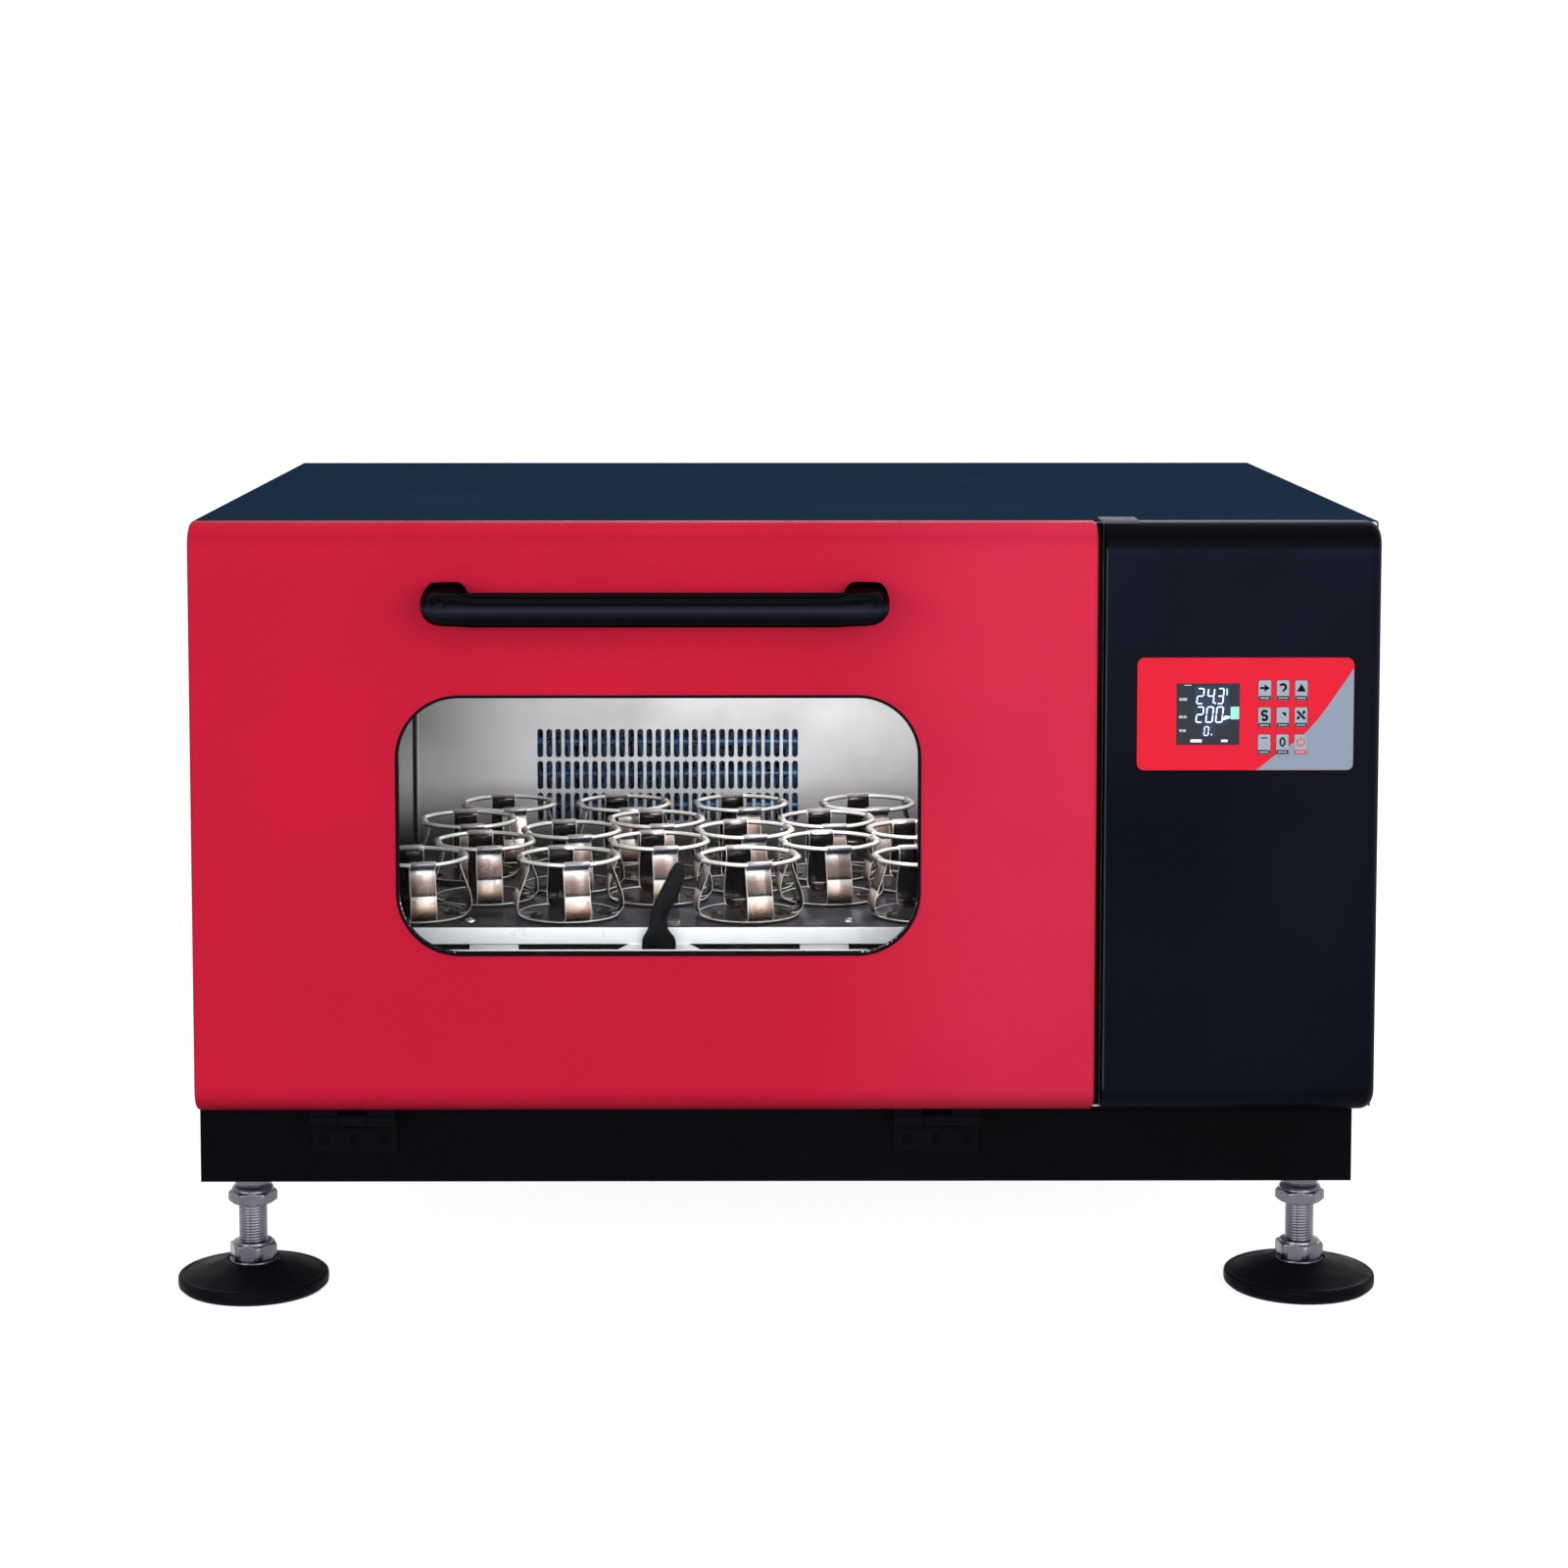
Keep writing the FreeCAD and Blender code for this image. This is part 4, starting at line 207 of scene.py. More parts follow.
def slab(loops, low, high, bevel=0.0, steps=2):
    """A plate from closed outlines, holes among them, between two levels of its own Z."""
    curve = bpy.data.curves.new("outline", "CURVE")
    curve.dimensions = "2D"
    curve.fill_mode = "BOTH"
    curve.extrude = (high - low) / 2 - bevel
    curve.bevel_depth = bevel
    curve.offset = -bevel
    curve.bevel_resolution = steps
    for loop in loops:
        spline = curve.splines.new("POLY")
        spline.points.add(len(loop) - 1)
        for point, (x, y) in zip(spline.points, loop):
            point.co = (x, y, 0, 1)
        spline.use_cyclic_u = True
    holder = linked("outline", curve)
    mesh = bpy.data.meshes.new_from_object(holder.evaluated_get(bpy.context.evaluated_depsgraph_get()))
    middle = (low + high) / 2
    shape = ([(v.co.x, v.co.y, v.co.z + middle) for v in mesh.vertices],
             [list(p.vertices) for p in mesh.polygons])
    bpy.data.meshes.remove(mesh)
    bpy.data.objects.remove(holder)
    bpy.data.curves.remove(curve)
    return shape


def front_slab(loops, front, back, bevel=0.0, steps=2):
    """A plate whose outlines are in X and Z, between two places in Y."""
    return moved(slab(loops, -back, -front, bevel, steps), TO_FRONT)


def piece(name, shape, finish, body, slot, *replaced, sharp=35):
    """A finished object that rides on a body; edges over the sharp angle in degrees stay sharp."""
    mesh = bpy.data.meshes.new(name)
    mesh.from_pydata([Vector(point) * MM for point in shape[0]], [], shape[1])
    work = bmesh.new()
    work.from_mesh(mesh)
    bmesh.ops.remove_doubles(work, verts=work.verts, dist=2e-6)
    bmesh.ops.recalc_face_normals(work, faces=work.faces)
    work.to_mesh(mesh)
    work.free()
    mesh.shade_smooth()
    mesh.set_sharp_from_angle(angle=math.radians(sharp))
    mesh.materials.append(finish.material)
    thing = linked(name, mesh)
    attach(thing, body)
    if replaced:
        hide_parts(*replaced)


# Materials

def tone(shade):
    """A photo's colour as the renderer's own, from red, green and blue or from one number for a grey."""
    def linear(value):
        value /= 255
        return value / 12.92 if value <= 0.04045 else ((value + 0.055) / 1.055) ** 2.4
    return tuple(linear(value) for value in (shade if isinstance(shade, tuple) else (shade,) * 3)) + (1.0,)


def put(node, values):
    """Sets inputs of a node by their names."""
    for name, value in values.items():
        node.inputs[name].default_value = value


class Finish:
    """A Principled material whose colour, roughness and bump come from noise in object space, its colour
    sometimes carrying painted light and shade.
    """

    def __init__(self, name, colour, rough, metal=0.0, specular=0.5):
        self.material = bpy.data.materials.new(name)
        self.material.use_nodes = True
        tree = self.material.node_tree
        self.nodes, self.links = tree.nodes, tree.links
        self.shader = self.nodes["Principled BSDF"]
        self.colour, self.rough = tone(colour), rough
        put(self.shader, {"Base Color": self.colour, "Roughness": rough, "Metallic": metal,
                          "Specular IOR Level": specular})
        self.place = self.add("TexCoord").outputs["Object"]

    def add(self, kind):
        """A new shader node."""
        return self.nodes.new("ShaderNode" + kind)

    def noise(self, scale, detail=3.0, stretch=(1, 1, 1)):
        """Noise in object space, from 0 to 1."""
        mapping = self.add("Mapping")
        put(mapping, {"Scale": stretch})
        texture = self.add("TexNoise")
        put(texture, {"Scale": scale, "Detail": detail})
        self.links.new(self.place, mapping.inputs["Vector"])
        self.links.new(mapping.outputs["Vector"], texture.inputs["Vector"])
        return texture.outputs["Fac"]

    def mix(self, factor, one, other, blend="MIX"):
        """Mixes two colours, each a value or a socket."""
        node = self.add("Mix")
        node.data_type, node.blend_type = "RGBA", blend
        ends = node.inputs[6], node.inputs[7]  # its colour sockets
        for socket, value in ((node.inputs["Factor"], factor), (ends[0], one), (ends[1], other)):
            if hasattr(value, "links"):
                self.links.new(value, socket)
            else:
                socket.default_value = value
        return node.outputs[2]

    def spread(self, value, low, high, start=0.3, end=0.7):
        """Stretches a value's range from start and end to low and high."""
        node = self.add("MapRange")
        put(node, {"From Min": start, "From Max": end, "To Min": low, "To Max": high})
        self.links.new(value, node.inputs["Value"])
        return node.outputs["Result"]

    def shades(self, amount, scale=6, stretch=(1, 1, 1), detail=3.0, other=None):
        """Lets the colour wander either side of its value, or towards another colour."""
        dark = tuple(c * (1 - amount) for c in self.colour[:3]) + (1,)
        light = tone(other) if other else tuple(min(1, c * (1 + amount)) for c in self.colour[:3]) + (1,)
        colour = self.mix(self.spread(self.noise(scale, detail, stretch), 0, 1), dark, light)
        self.links.new(colour, self.shader.inputs["Base Color"])
        return self

    def wear(self, amount, scale=14, stretch=(1, 1, 1)):
        """Lets the roughness wander, as handling and wiping leave it."""
        low, high = max(0.02, self.rough - amount), self.rough + amount
        value = self.spread(self.noise(scale, 4.0, stretch), low, high)
        self.links.new(value, self.shader.inputs["Roughness"])
        return self

    def grain(self, strength, scale, stretch=(1, 1, 1), distance=0.0002):
        """A fine bump."""
        node = self.add("Bump")
        put(node, {"Strength": strength, "Distance": distance})
        self.links.new(self.noise(scale, 2.0, stretch), node.inputs["Height"])
        self.links.new(node.outputs["Normal"], self.shader.inputs["Normal"])
        return self

    def painted_light_along(self, axis, *stops):
        """Paints light and shade into the colour along one axis of object space, darkening it by (place in
        mm, tone) pairs.
        """
        parts = self.add("SeparateXYZ")
        self.links.new(self.place, parts.inputs[0])
        low, high = stops[0][0], stops[-1][0]
        ramp = self.add("ValToRGB")
        keys = ramp.color_ramp.elements
        keys[0].color, keys[1].color = tone(stops[0][1]), tone(stops[-1][1])
        for level, shade in stops[1:-1]:
            keys.new((level - low) / (high - low)).color = tone(shade)
        self.links.new(self.spread(parts.outputs[axis], 0, 1, low * MM, high * MM), ramp.inputs[0])
        base = self.shader.inputs["Base Color"]
        now = base.links[0].from_socket if base.is_linked else self.colour
        self.links.new(self.mix(1.0, now, ramp.outputs["Color"], "MULTIPLY"), base)
        return self

    def quiet_rim(self, level):
        """Shines by this much where it faces the viewer and not at a glancing angle."""
        facing = self.add("LayerWeight").outputs["Facing"]
        self.links.new(self.spread(facing, level, 0, 0.35, 0.75), self.shader.inputs["Specular IOR Level"])
        return self

    def glow(self, colour, strength):
        """Lights of its own, as a display has."""
        put(self.shader, {"Emission Color": tone(colour), "Emission Strength": strength})
        return self


# Painted light: the Z tint shades the rolled bottom edge and puts a darker band and a highlight line on the
# top roll; the X tint lightens the door towards the right, as the light falls.
door_red = Finish("door_red", (216, 44, 75), 0.5, specular=0.05).shades(0.06, 7).wear(0.06, 9) \
    .grain(0.25, 900).painted_light_along("Z", (169, 170), (176, 214), (188, 248), (640, 255),
                             (650, 232), (656, 252), (662, 250)) \
    .painted_light_along("X", (-484, (242, 178, 204)), (30, (242, 184, 206)), (180, 252), (262, 255))
navy = Finish("navy_paint", (33, 53, 74), 0.6, specular=0.0).shades(0.06, 5).wear(0.05) \
    .grain(0.15, 900)
# Painted light: the Z tint darkens the column towards the bottom, puts a highlight line above the front,
# darkens the top roll and lightens a line at the roof's edge.
column_black = Finish("column_black", (14, 18, 32), 0.4, specular=0.03) \
    .shades(0.25, 4, other=(24, 30, 50)).wear(0.08, 5).grain(0.2, 1000) \
    .painted_light_along("Z", (169, 110), (200, 165), (400, 172), (560, 205), (634, 228),
            (639, 255), (642.5, 120), (650, 70), (658, 80), (661, 255),
            (662, 255))
plinth_black = Finish("plinth_black", (9, 9, 13), 0.6, specular=0.02).shades(0.2, 8).wear(0.06) \
    .grain(0.3, 900)
frame_steel = Finish("frame_steel", (182, 182, 186), 0.34, 0.7).shades(0.04, 5, detail=5.0) \
    .wear(0.05, 10).grain(0.1, 60, (1, 1, 14))
zinc = Finish("zinc_sheet", (150, 153, 156), 0.42, 0.9).shades(0.12, 30).wear(0.1, 40).grain(0.1, 400)
stainless = Finish("stainless", (120, 119, 122), 0.32, 1.0).shades(0.1, 5, detail=5.0).wear(0.08, 10) \
    .grain(0.12, 60, (1, 1, 14))
# Painted shade and light: the Z tint darkens the sheet near the tray and between the clamps, and the X tint
# darkens it to the left and at the right end, as the light falls.
duct_painted_shade = Finish("duct_painted_shade", (214, 212, 214), 0.42, 0.3).shades(0.22, 9, detail=8.0) \
    .wear(0.07, 12).grain(0.18, 500) \
    .painted_light_along("Z", (262, 34), (302, 56), (320, 120), (342, 214), (370, 250),
            (600, 244)) \
    .painted_light_along("X", (-385, 204), (-330, 215), (-290, 230), (-240, 244),
            (-120, 255), (60, 244), (208, 206))
# Near black and barely glossy: painted dark reflection in place of the polished tray's mirror.
tray_steel = Finish("tray_steel", (46, 46, 51), 0.16, 0.1, 0.01).shades(0.12, 12).wear(0.06, 18) \
    .grain(0.05, 300)
bright_steel = Finish("bright_steel", (214, 212, 210), 0.22, 1.0).shades(0.06, 20).wear(0.06, 30) \
    .grain(0.06, 500)
# Kept dark as painted shade: the leaves' inner sides read as shaded, while their lit outer sides are
# separate skins with painted reflection bands.
spring_steel = Finish("spring_steel", (44, 40, 39), 0.18, 1.0).shades(0.2, 25).wear(0.07, 45) \
    .grain(0.08, 300, (1, 1, 0.2))
# Painted reflections: bands along Z give the polished leaf sides their highlights and dark reflections.
leaf_painted_reflections = Finish("leaf_painted_reflections", (222, 216, 215), 0.24, 0.5).shades(0.07, 30).wear(0.06, 45) \
    .grain(0.08, 300, (1, 1, 0.2)) \
    .painted_light_along("Z", *[(TRAY.top + level, shade) for level, shade in (
        (2, (34, 28, 26)), (6, (56, 42, 36)), (9.5, (124, 94, 78)), (14, (178, 150, 134)),
        (19, (216, 198, 188)), (22.5, (255, 250, 246)), (24.3, (255, 252, 250)), (25.0, (40, 40, 48)),
        (26.6, (56, 52, 54)), (28, (112, 92, 88)), (32, (134, 112, 104)), (37, (166, 144, 136)),
        (41, (226, 212, 206)), (43.6, (255, 250, 248)), (45.4, (214, 214, 220)), (46.4, (60, 66, 84)),
        (51, (74, 80, 96)), (53, (206, 200, 198)), (55.5, (252, 248, 246)))])
# Pale, mostly diffuse steel: painted highlights on the leaves' edges and the bases' rims.
painted_highlight_steel = Finish("painted_highlight_steel", (214, 207, 198), 0.2, 0.45).shades(0.3, 60).wear(0.06, 60) \
    .grain(0.05, 700)
# Painted light: the Z tint shades the wire's underside and lightens its top.
ring_painted_light = Finish("ring_painted_light", (248, 243, 235), 0.2, 0.4).shades(0.16, 40).wear(0.06, 60) \
    .painted_light_along("Z", (TRAY.top + 49.1, (58, 44, 36)), (TRAY.top + 50.4, (120, 98, 84)),
            (TRAY.top + 51.2, 240), (TRAY.top + 53.4, 255))
# Near black, nearly without gloss: painted shade on the clamps' base discs.
base_painted_shade = Finish("base_painted_shade", (34, 31, 30), 0.2, 0.1, 0.02).shades(0.2, 25).wear(0.07, 45)
flange_steel = Finish("flange_steel", (242, 243, 244), 0.34, 0.15).shades(0.05, 12).wear(0.08, 30) \
    .grain(0.05, 400)
# Near black: painted shade on the carriage under the tray; its arm fronts get a bright finish as the lit
# parts.
carriage_painted_shade = Finish("carriage_painted_shade", (26, 26, 30), 0.5, 0.5).shades(0.15, 20).wear(0.08)
tab_steel = Finish("tab_steel", (92, 93, 103), 0.5, 0.0, 0.02).shades(0.1, 60).wear(0.08, 60)
edge_highlight_steel = Finish("edge_highlight_steel", (50, 54, 68), 0.4, 0.4).shades(0.3, 12).wear(0.08, 60)
screw_steel = Finish("screw_steel", (9, 9, 12), 0.5, specular=0.01).shades(0.15, 60).wear(0.08, 60)
plated = Finish("plated_steel", (106, 106, 115), 0.2, 1.0).shades(0.2, 30).wear(0.08, 50) \
    .grain(0.12, 900)
cast_aluminium = Finish("cast_aluminium", (170, 172, 174), 0.5, 0.8).shades(0.08, 20).wear(0.08) \
    .grain(0.3, 500)
blue_fin = Finish("blue_fin", (4, 22, 48), 0.32, 0.35).shades(0.4, 60, other=(34, 104, 160)) \
    .wear(0.1, 60).grain(0.1, 300)
foam = Finish("foam", (214, 205, 170), 0.9, specular=0.2).shades(0.08, 40).grain(0.5, 300)
panel_red = Finish("panel_red", (234, 32, 55), 0.42, specular=0.08).shades(0.04, 12).wear(0.05) \
    .grain(0.12, 1500)
panel_grey = Finish("panel_grey", (146, 161, 178), 0.45, specular=0.08).shades(0.04, 14).wear(0.05) \
    .grain(0.12, 1500)
display_film = Finish("display_film", (53, 55, 65), 0.3, specular=0.07).shades(0.06, 60).wear(0.04)
digit_white = Finish("digit_white", (225, 240, 250), 0.5, specular=0.2).shades(0.04, 300) \
    .glow((214, 236, 255), 0.62)
digit_halo = Finish("digit_halo", (40, 54, 80), 0.5, specular=0.2) \
    .shades(0.3, 120, other=(50, 66, 92))
display_green = Finish("display_green", (150, 226, 200), 0.5, specular=0.2).shades(0.12, 500) \
    .glow((130, 220, 190), 0.4)
key_silver = Finish("key_silver", (152, 162, 174), 0.42, 0.15, 0.4).shades(0.05, 60).wear(0.06, 80) \
    .grain(0.1, 1500)
key_mark = Finish("key_mark", (12, 13, 18), 0.5, specular=0.03).shades(0.15, 200).grain(0.05, 900)
key_label = Finish("key_label", (34, 38, 46), 0.5, specular=0.06).shades(0.1, 200).grain(0.05, 900)
mark_red = Finish("mark_red", (222, 62, 66), 0.5, specular=0.3).shades(0.06, 200).grain(0.05, 900)
mark_pale = Finish("mark_pale", (190, 196, 200), 0.5, specular=0.3).shades(0.1, 300).grain(0.05, 900)
board_green = Finish("board_green", (24, 84, 56), 0.45).shades(0.15, 120).grain(0.15, 500)
# Painted highlight and reflection: the Z tint puts a light stripe along the handle's bar and a dark red
# reflection of the door along its lower edge.
gloss_black = Finish("gloss_black", (38, 42, 58), 0.14, specular=0.02).shades(0.1, 20) \
    .wear(0.04, 25).grain(0.03, 300).quiet_rim(0.03) \
    .painted_light_along("Z", (582, (60, 18, 22)), (585, 40), (590, 80), (594, 190),
            (596, 255), (598, 190), (601, 70), (606, 46), (616, 40))
matte_black = Finish("matte_black", (17, 17, 21), 0.55, specular=0.06).shades(0.2, 40).wear(0.08, 50) \
    .grain(0.3, 700)
lever_black = Finish("lever_black", (5, 6, 9), 0.3, specular=0.06).shades(0.3, 90) \
    .wear(0.12, 120).grain(0.5, 420, distance=0.0004)
rubber = Finish("black_rubber", (10, 10, 16), 0.48, specular=0.03).shades(0.2, 30).wear(0.1, 40) \
    .grain(0.3, 500)
black_steel = Finish("black_steel", (11, 11, 15), 0.5, specular=0.02).shades(0.15, 30).wear(0.08, 50) \
    .grain(0.15, 700)


def clear_glass():
    """Glass that lamps reach through."""
    finish = Finish("clear_glass", 255, 0.0)
    link, shader = finish.links.new, finish.shader
    put(shader, {"Base Color": (0.98, 0.99, 0.99, 1), "Transmission Weight": 1.0, "IOR": 1.08})
    link(finish.spread(finish.noise(3, 2.0), 0.0, 0.015), shader.inputs["Roughness"])
    path = finish.add("LightPath")
    clear = finish.add("BsdfTransparent")
    put(clear, {"Color": (0.97, 0.98, 0.98, 1)})
    both = finish.add("MixShader")
    link(path.outputs["Is Shadow Ray"], both.inputs[0])
    link(shader.outputs[0], both.inputs[1])
    link(clear.outputs[0], both.inputs[2])
    link(both.outputs[0], finish.nodes["Material Output"].inputs["Surface"])
    return finish


glass = clear_glass()

NODE_FINISH = {node: finish for finish, nodes in (
    (zinc, "base_pan"), (plinth_black, "plinth_frame"), (navy, "cabinet_shell rear_panel"),
    (frame_steel, "front_frame door_liner"), (stainless, "chamber_liner"), (foam, "foam_jacket"),
    (column_black, "column_cover"), (panel_red, "keypad_panel"), (display_film, "display_window"),
    (board_green, "control_board"), (door_red, "door_skin"), (glass, "outer_pane inner_pane"),
    (rubber, "window_gasket door_seal drive_belt"), (black_steel, "hinge_upper_leaves hinge_lower_leaves"),
    (cast_aluminium, "bearing_housings drive_motor motor_pulley drive_pulley fan_motor condenser"),
    (plated, "column_tab shaft_bearings crank_shaft idler_crank_left idler_crank_right"),
    (tray_steel, "tray"), (carriage_painted_shade, "shaker_carriage"), (flange_steel, "lock_plate"),
    (blue_fin, "evaporator_coil"),
) for node in nodes.split()}
for name, node in NODES.items():
    node.data.materials.clear()
    node.data.materials.append(NODE_FINISH.get(name, matte_black).material)


# Clamps

def smooth_line(knots, steps=3):
    """Points on a smooth line through the knots."""
    line = []
    for k in range(len(knots) - 1):
        p = [Vector(knots[min(max(k + s, 0), len(knots) - 1)]) for s in (-1, 0, 1, 2)]
        for s in range(steps):
            t = s / steps
            bend = 2 * p[0] - 5 * p[1] + 4 * p[2] - p[3]
            line.append(0.5 * (2 * p[1] + (p[2] - p[0]) * t + bend * t * t
                               + (3 * p[1] - p[0] - 3 * p[2] + p[3]) * t ** 3))
    line.append(Vector(knots[-1]))
    return line


def outward(line, k):
    """The direction square to a line at one of its points."""
    along = (line[min(k + 1, len(line) - 1)] - line[max(k - 1, 0)]).normalized()
    return Vector((along.y, -along.x))


def strip(line, width, thick, edge=0.3):
    """A flat spring along a line of (radius, height) points, its long edges rounded."""
    rings = []
    half, skin = width / 2, thick / 2
    for k, point in enumerate(line):
        out, ring = outward(line, k), []
        for side, off in ((-half, skin - edge), (-half + edge, skin), (half - edge, skin),
                          (half, skin - edge), (half, edge - skin), (half - edge, -skin),
                          (-half + edge, -skin), (-half, edge - skin)):
            spot = point + out * off
            ring.append((spot.x, side, spot.y))
        rings.append(ring)
    return loft(rings)


CLAMP_WIDE = 92.0
CLAMP_ROWS = (  # place behind the drive axis, places across it, both in clamps, and turn in degrees
    (-1.511, (-2.283, -0.859, 0.826, 2.467), 13), (-0.685, (-1.707, -0.033, 1.609), 10),
    (-0.076, (-0.902, 0.793, 2.467), 13), (0.533, (-1.957, -0.087, 1.609), 9),
    (1.489, (-1.620, -0.446, 0.750, 2.054), 12),
)
CLAMP_SPOTS = [at(DRIVE_X + CLAMP_WIDE * across, DRIVE_Y + CLAMP_WIDE * back, TRAY.top) @ turn(angle)
               for back, row, angle in CLAMP_ROWS for across in row]
RING_MIDDLE, RING_LEVEL, RING_WIRE = 41.0, 51.2, 2.0
RING_CORNER, CORNER_REACH = 16.5, 42.76  # degrees off a leaf's middle, and how far out the wire is there
LEAF_WIDE, LEAF_THICK, CURL_RADIUS = 22.0, 0.8, 2.65
KNEE, NECK = 9, 37  # points of the leaf's line
RIM_REACH, RIM_LEVEL = 43.2, 2.6
TRAY_CORNER, TRAY_FACE = 3.5, TRAY.top - 0.05
ARM_OFF, ARM_FRONT, ARM_Z = 140.5, CARRIAGE.front + 3.2, CARRIAGE.low + 8.6


def leaf_line():
    """From the riveted foot, round the knee, in to the neck and out over the wire."""
    knots = [(24, 2.7), (33, 2.7), (40.2, 3.0), (44.2, 5), (46.0, 9), (46.1, 14), (45.0, 20), (43.0, 26),
             (40.7, 32), (38.5, 38), (36.8, 43), (36.3, 46.6), (36.9, 49.6)]
    curl = [(RING_MIDDLE + CURL_RADIUS * math.cos(a), RING_LEVEL + CURL_RADIUS * math.sin(a))
            for a in map(math.radians, (160, 126, 92, 58, 24, -10, -40))]
    return smooth_line(knots + curl)


def four(shape):
    """The shape on each of a clamp's four sides."""
    return join(*[moved(shape, turn(90 * k)) for k in range(4)])


def clamp_leaves():
    """The leaves and their rivets."""
    rivet = moved(lathe([(2.6, 0), (2.5, 0.7), (1.5, 1.3), (0, 1.5)], 16), at(30, 0, 3.1))
    return four(join(strip(leaf_line(), LEAF_WIDE, LEAF_THICK), rivet))


def clamp_faces():
    """The leaves' polished outer sides and the upper sides of their rolled ends, as skins that carry painted
    reflection bands.
    """
    line, skins = leaf_line(), []
    for part, off in ((line[KNEE:NECK], 0.45), (line[NECK:], -0.45)):
        skin = [point + off * outward(part, k) for k, point in enumerate(part)]
        skins.append(strip(skin, LEAF_WIDE - 0.6, 0.2, 0.08))
    return four(join(*skins))


def clamp_edge_highlights():
    """Pale bars along the leaves' long edges, painted highlights."""
    line, side = leaf_line()[4:], LEAF_WIDE / 2 - 0.1
    edges = [tube([(p.x, y, p.y) for p in line], 0.42, 6) for y in (-side, side)]
    return four(join(*edges))


def clamp_ring():
    """The wire runs straight across each leaf and bows between them."""
    path = []
    for k in range(4):
        for degrees in (-22, -19, -16.5, -14, 0, 14, 16.5, 19, 22, 30, 38, 45, 52, 60):
            off = abs(degrees)
            if off <= RING_CORNER:
                reach = RING_MIDDLE / math.cos(math.radians(off))
            else:
                reach = CORNER_REACH - math.sin(math.pi * (off - RING_CORNER) / (90 - 2 * RING_CORNER))
            a = math.radians(90 * k + degrees)
            path.append((reach * math.cos(a), reach * math.sin(a), RING_LEVEL))
    return tube(path, RING_WIRE, 10, closed=True)


def clamp_base():
    """Disc with a turned-up edge, and the screw in its middle."""
    disc = lathe([(4, 0), (42.8, 0), (43.6, 0.8), (43.9, 2.0), (43.2, 2.8), (42.4, 2.6), (41.8, 2.1),
                  (4, 2.0), (4, 0)], 64)
    screw = lathe([(0, 5.0), (2.2, 4.9), (2.3, 5.4), (5.6, 5.2), (7.0, 3.6), (7.2, 2.0), (0, 2.0)], 24)
    return join(disc, screw)


def clamp_rim():
    """The base's rolled edge, in a pale finish that paints its highlight."""
    return tube(raised(ring_of(0, 0, RIM_REACH, 64), RIM_LEVEL), 0.6, 8, closed=True)


def everywhere(shape):
    """The shape at each clamp's place."""
    return join(*[moved(shape, spot) for spot in CLAMP_SPOTS])


def tray_ring(grow, level):
    """The tray's outline, grown by this much."""
    return raised(rounded(TRAY.left - grow, TRAY.right + grow, TRAY.front - grow, TRAY.back + grow,
                          TRAY_CORNER + grow, 6), level)


def tray_sheet():
    """Turned-down sheet with soft folds, from its flange's lower edge over the top and back."""
    foot, top = TRAY.low + 0.1, TRAY.top
    outside = [tray_ring(*row) for row in (
        (0, foot), (0, top - 2.7), (-0.35, top - 1.4), (-1.3, top - 0.4), (-2.6, TRAY_FACE))]
    inside = [tray_ring(*row) for row in ((-2.8, top - 1.55), (-1.6, top - 2.1), (-1.5, foot))]
    count, start = len(outside[0]), len(outside[0]) * len(outside)
    points, faces = join(loft(outside, capped=False), loft(inside, capped=False))
    faces.append(list(range(start - count, start)))
    faces.append(list(range(start, start + count))[::-1])
    last = start + 2 * count
    for k in range(count):
        n = (k + 1) % count
        faces.append([k, n, last + n, last + k])
    return points, faces


def tray_screws():
    """Low heads between the clamps, in the rows that fasten the tray to its carriage."""
    head = lathe([(0, 3.0), (1.2, 2.9), (1.5, 2.2), (3.6, 2.0), (4.6, 1.0), (4.8, 0), (0, 0)], 24)
    spots = [(-162, -163), (162, -163), (-162, 171), (162, 171), (-100, 42), (100, 42), (-245, -55),
             (248, -55)]
    return join(*[moved(head, at(DRIVE_X + x, DRIVE_Y + y, TRAY_FACE)) for x, y in spots])


def arm_face(off):
    """Bright front end of a carriage arm, a lit copy beside the carriage's painted shade."""
    return front_slab([around(DRIVE_X + off, ARM_Z, 20.8, 6.6, 1, 3)], ARM_FRONT, ARM_FRONT + 1, 0.2, 1)


piece("clamp_leaf_set", everywhere(clamp_leaves()), spring_steel, "carriage", "spring_steel",
      "clamp_leaves", sharp=50)
piece("clamp_face_set", everywhere(clamp_faces()), leaf_painted_reflections, "carriage", "spring_steel", sharp=50)
piece("clamp_edge_highlight_set", everywhere(clamp_edge_highlights()), painted_highlight_steel, "carriage", "spring_steel", sharp=60)
piece("clamp_ring_set", everywhere(clamp_ring()), ring_painted_light, "carriage", "spring_steel",
      "clamp_rings", sharp=60)
piece("clamp_rim_set", everywhere(clamp_rim()), painted_highlight_steel, "carriage", "stainless", sharp=60)
piece("clamp_base_set", everywhere(clamp_base()), base_painted_shade, "carriage", "stainless",
      "clamp_bases")
piece("tray_sheet", tray_sheet(), tray_steel, "carriage", "stainless", "tray", sharp=60)
piece("tray_screw_set", tray_screws(), bright_steel, "carriage", "stainless")
piece("tray_front_strip", front_slab([rounded(TRAY.left + 1.5, TRAY.right - 1.5, TRAY.low + 0.3,
                                              TRAY.top - 0.9, 0.6, 2)],
                                     TRAY.front - 0.8, TRAY.front + 0.1, 0.2),
      flange_steel, "carriage", "stainless")
piece("carriage_arm_faces", join(arm_face(-ARM_OFF), arm_face(ARM_OFF)), flange_steel, "carriage",
      "cast_aluminium")


# Tray lock

PIVOT_X, PIVOT_Z = LOCK.middle[0], LOCK.middle[2]
LEVER_SIDES, LEVER_Y = 20, LOCK.front - 4.8


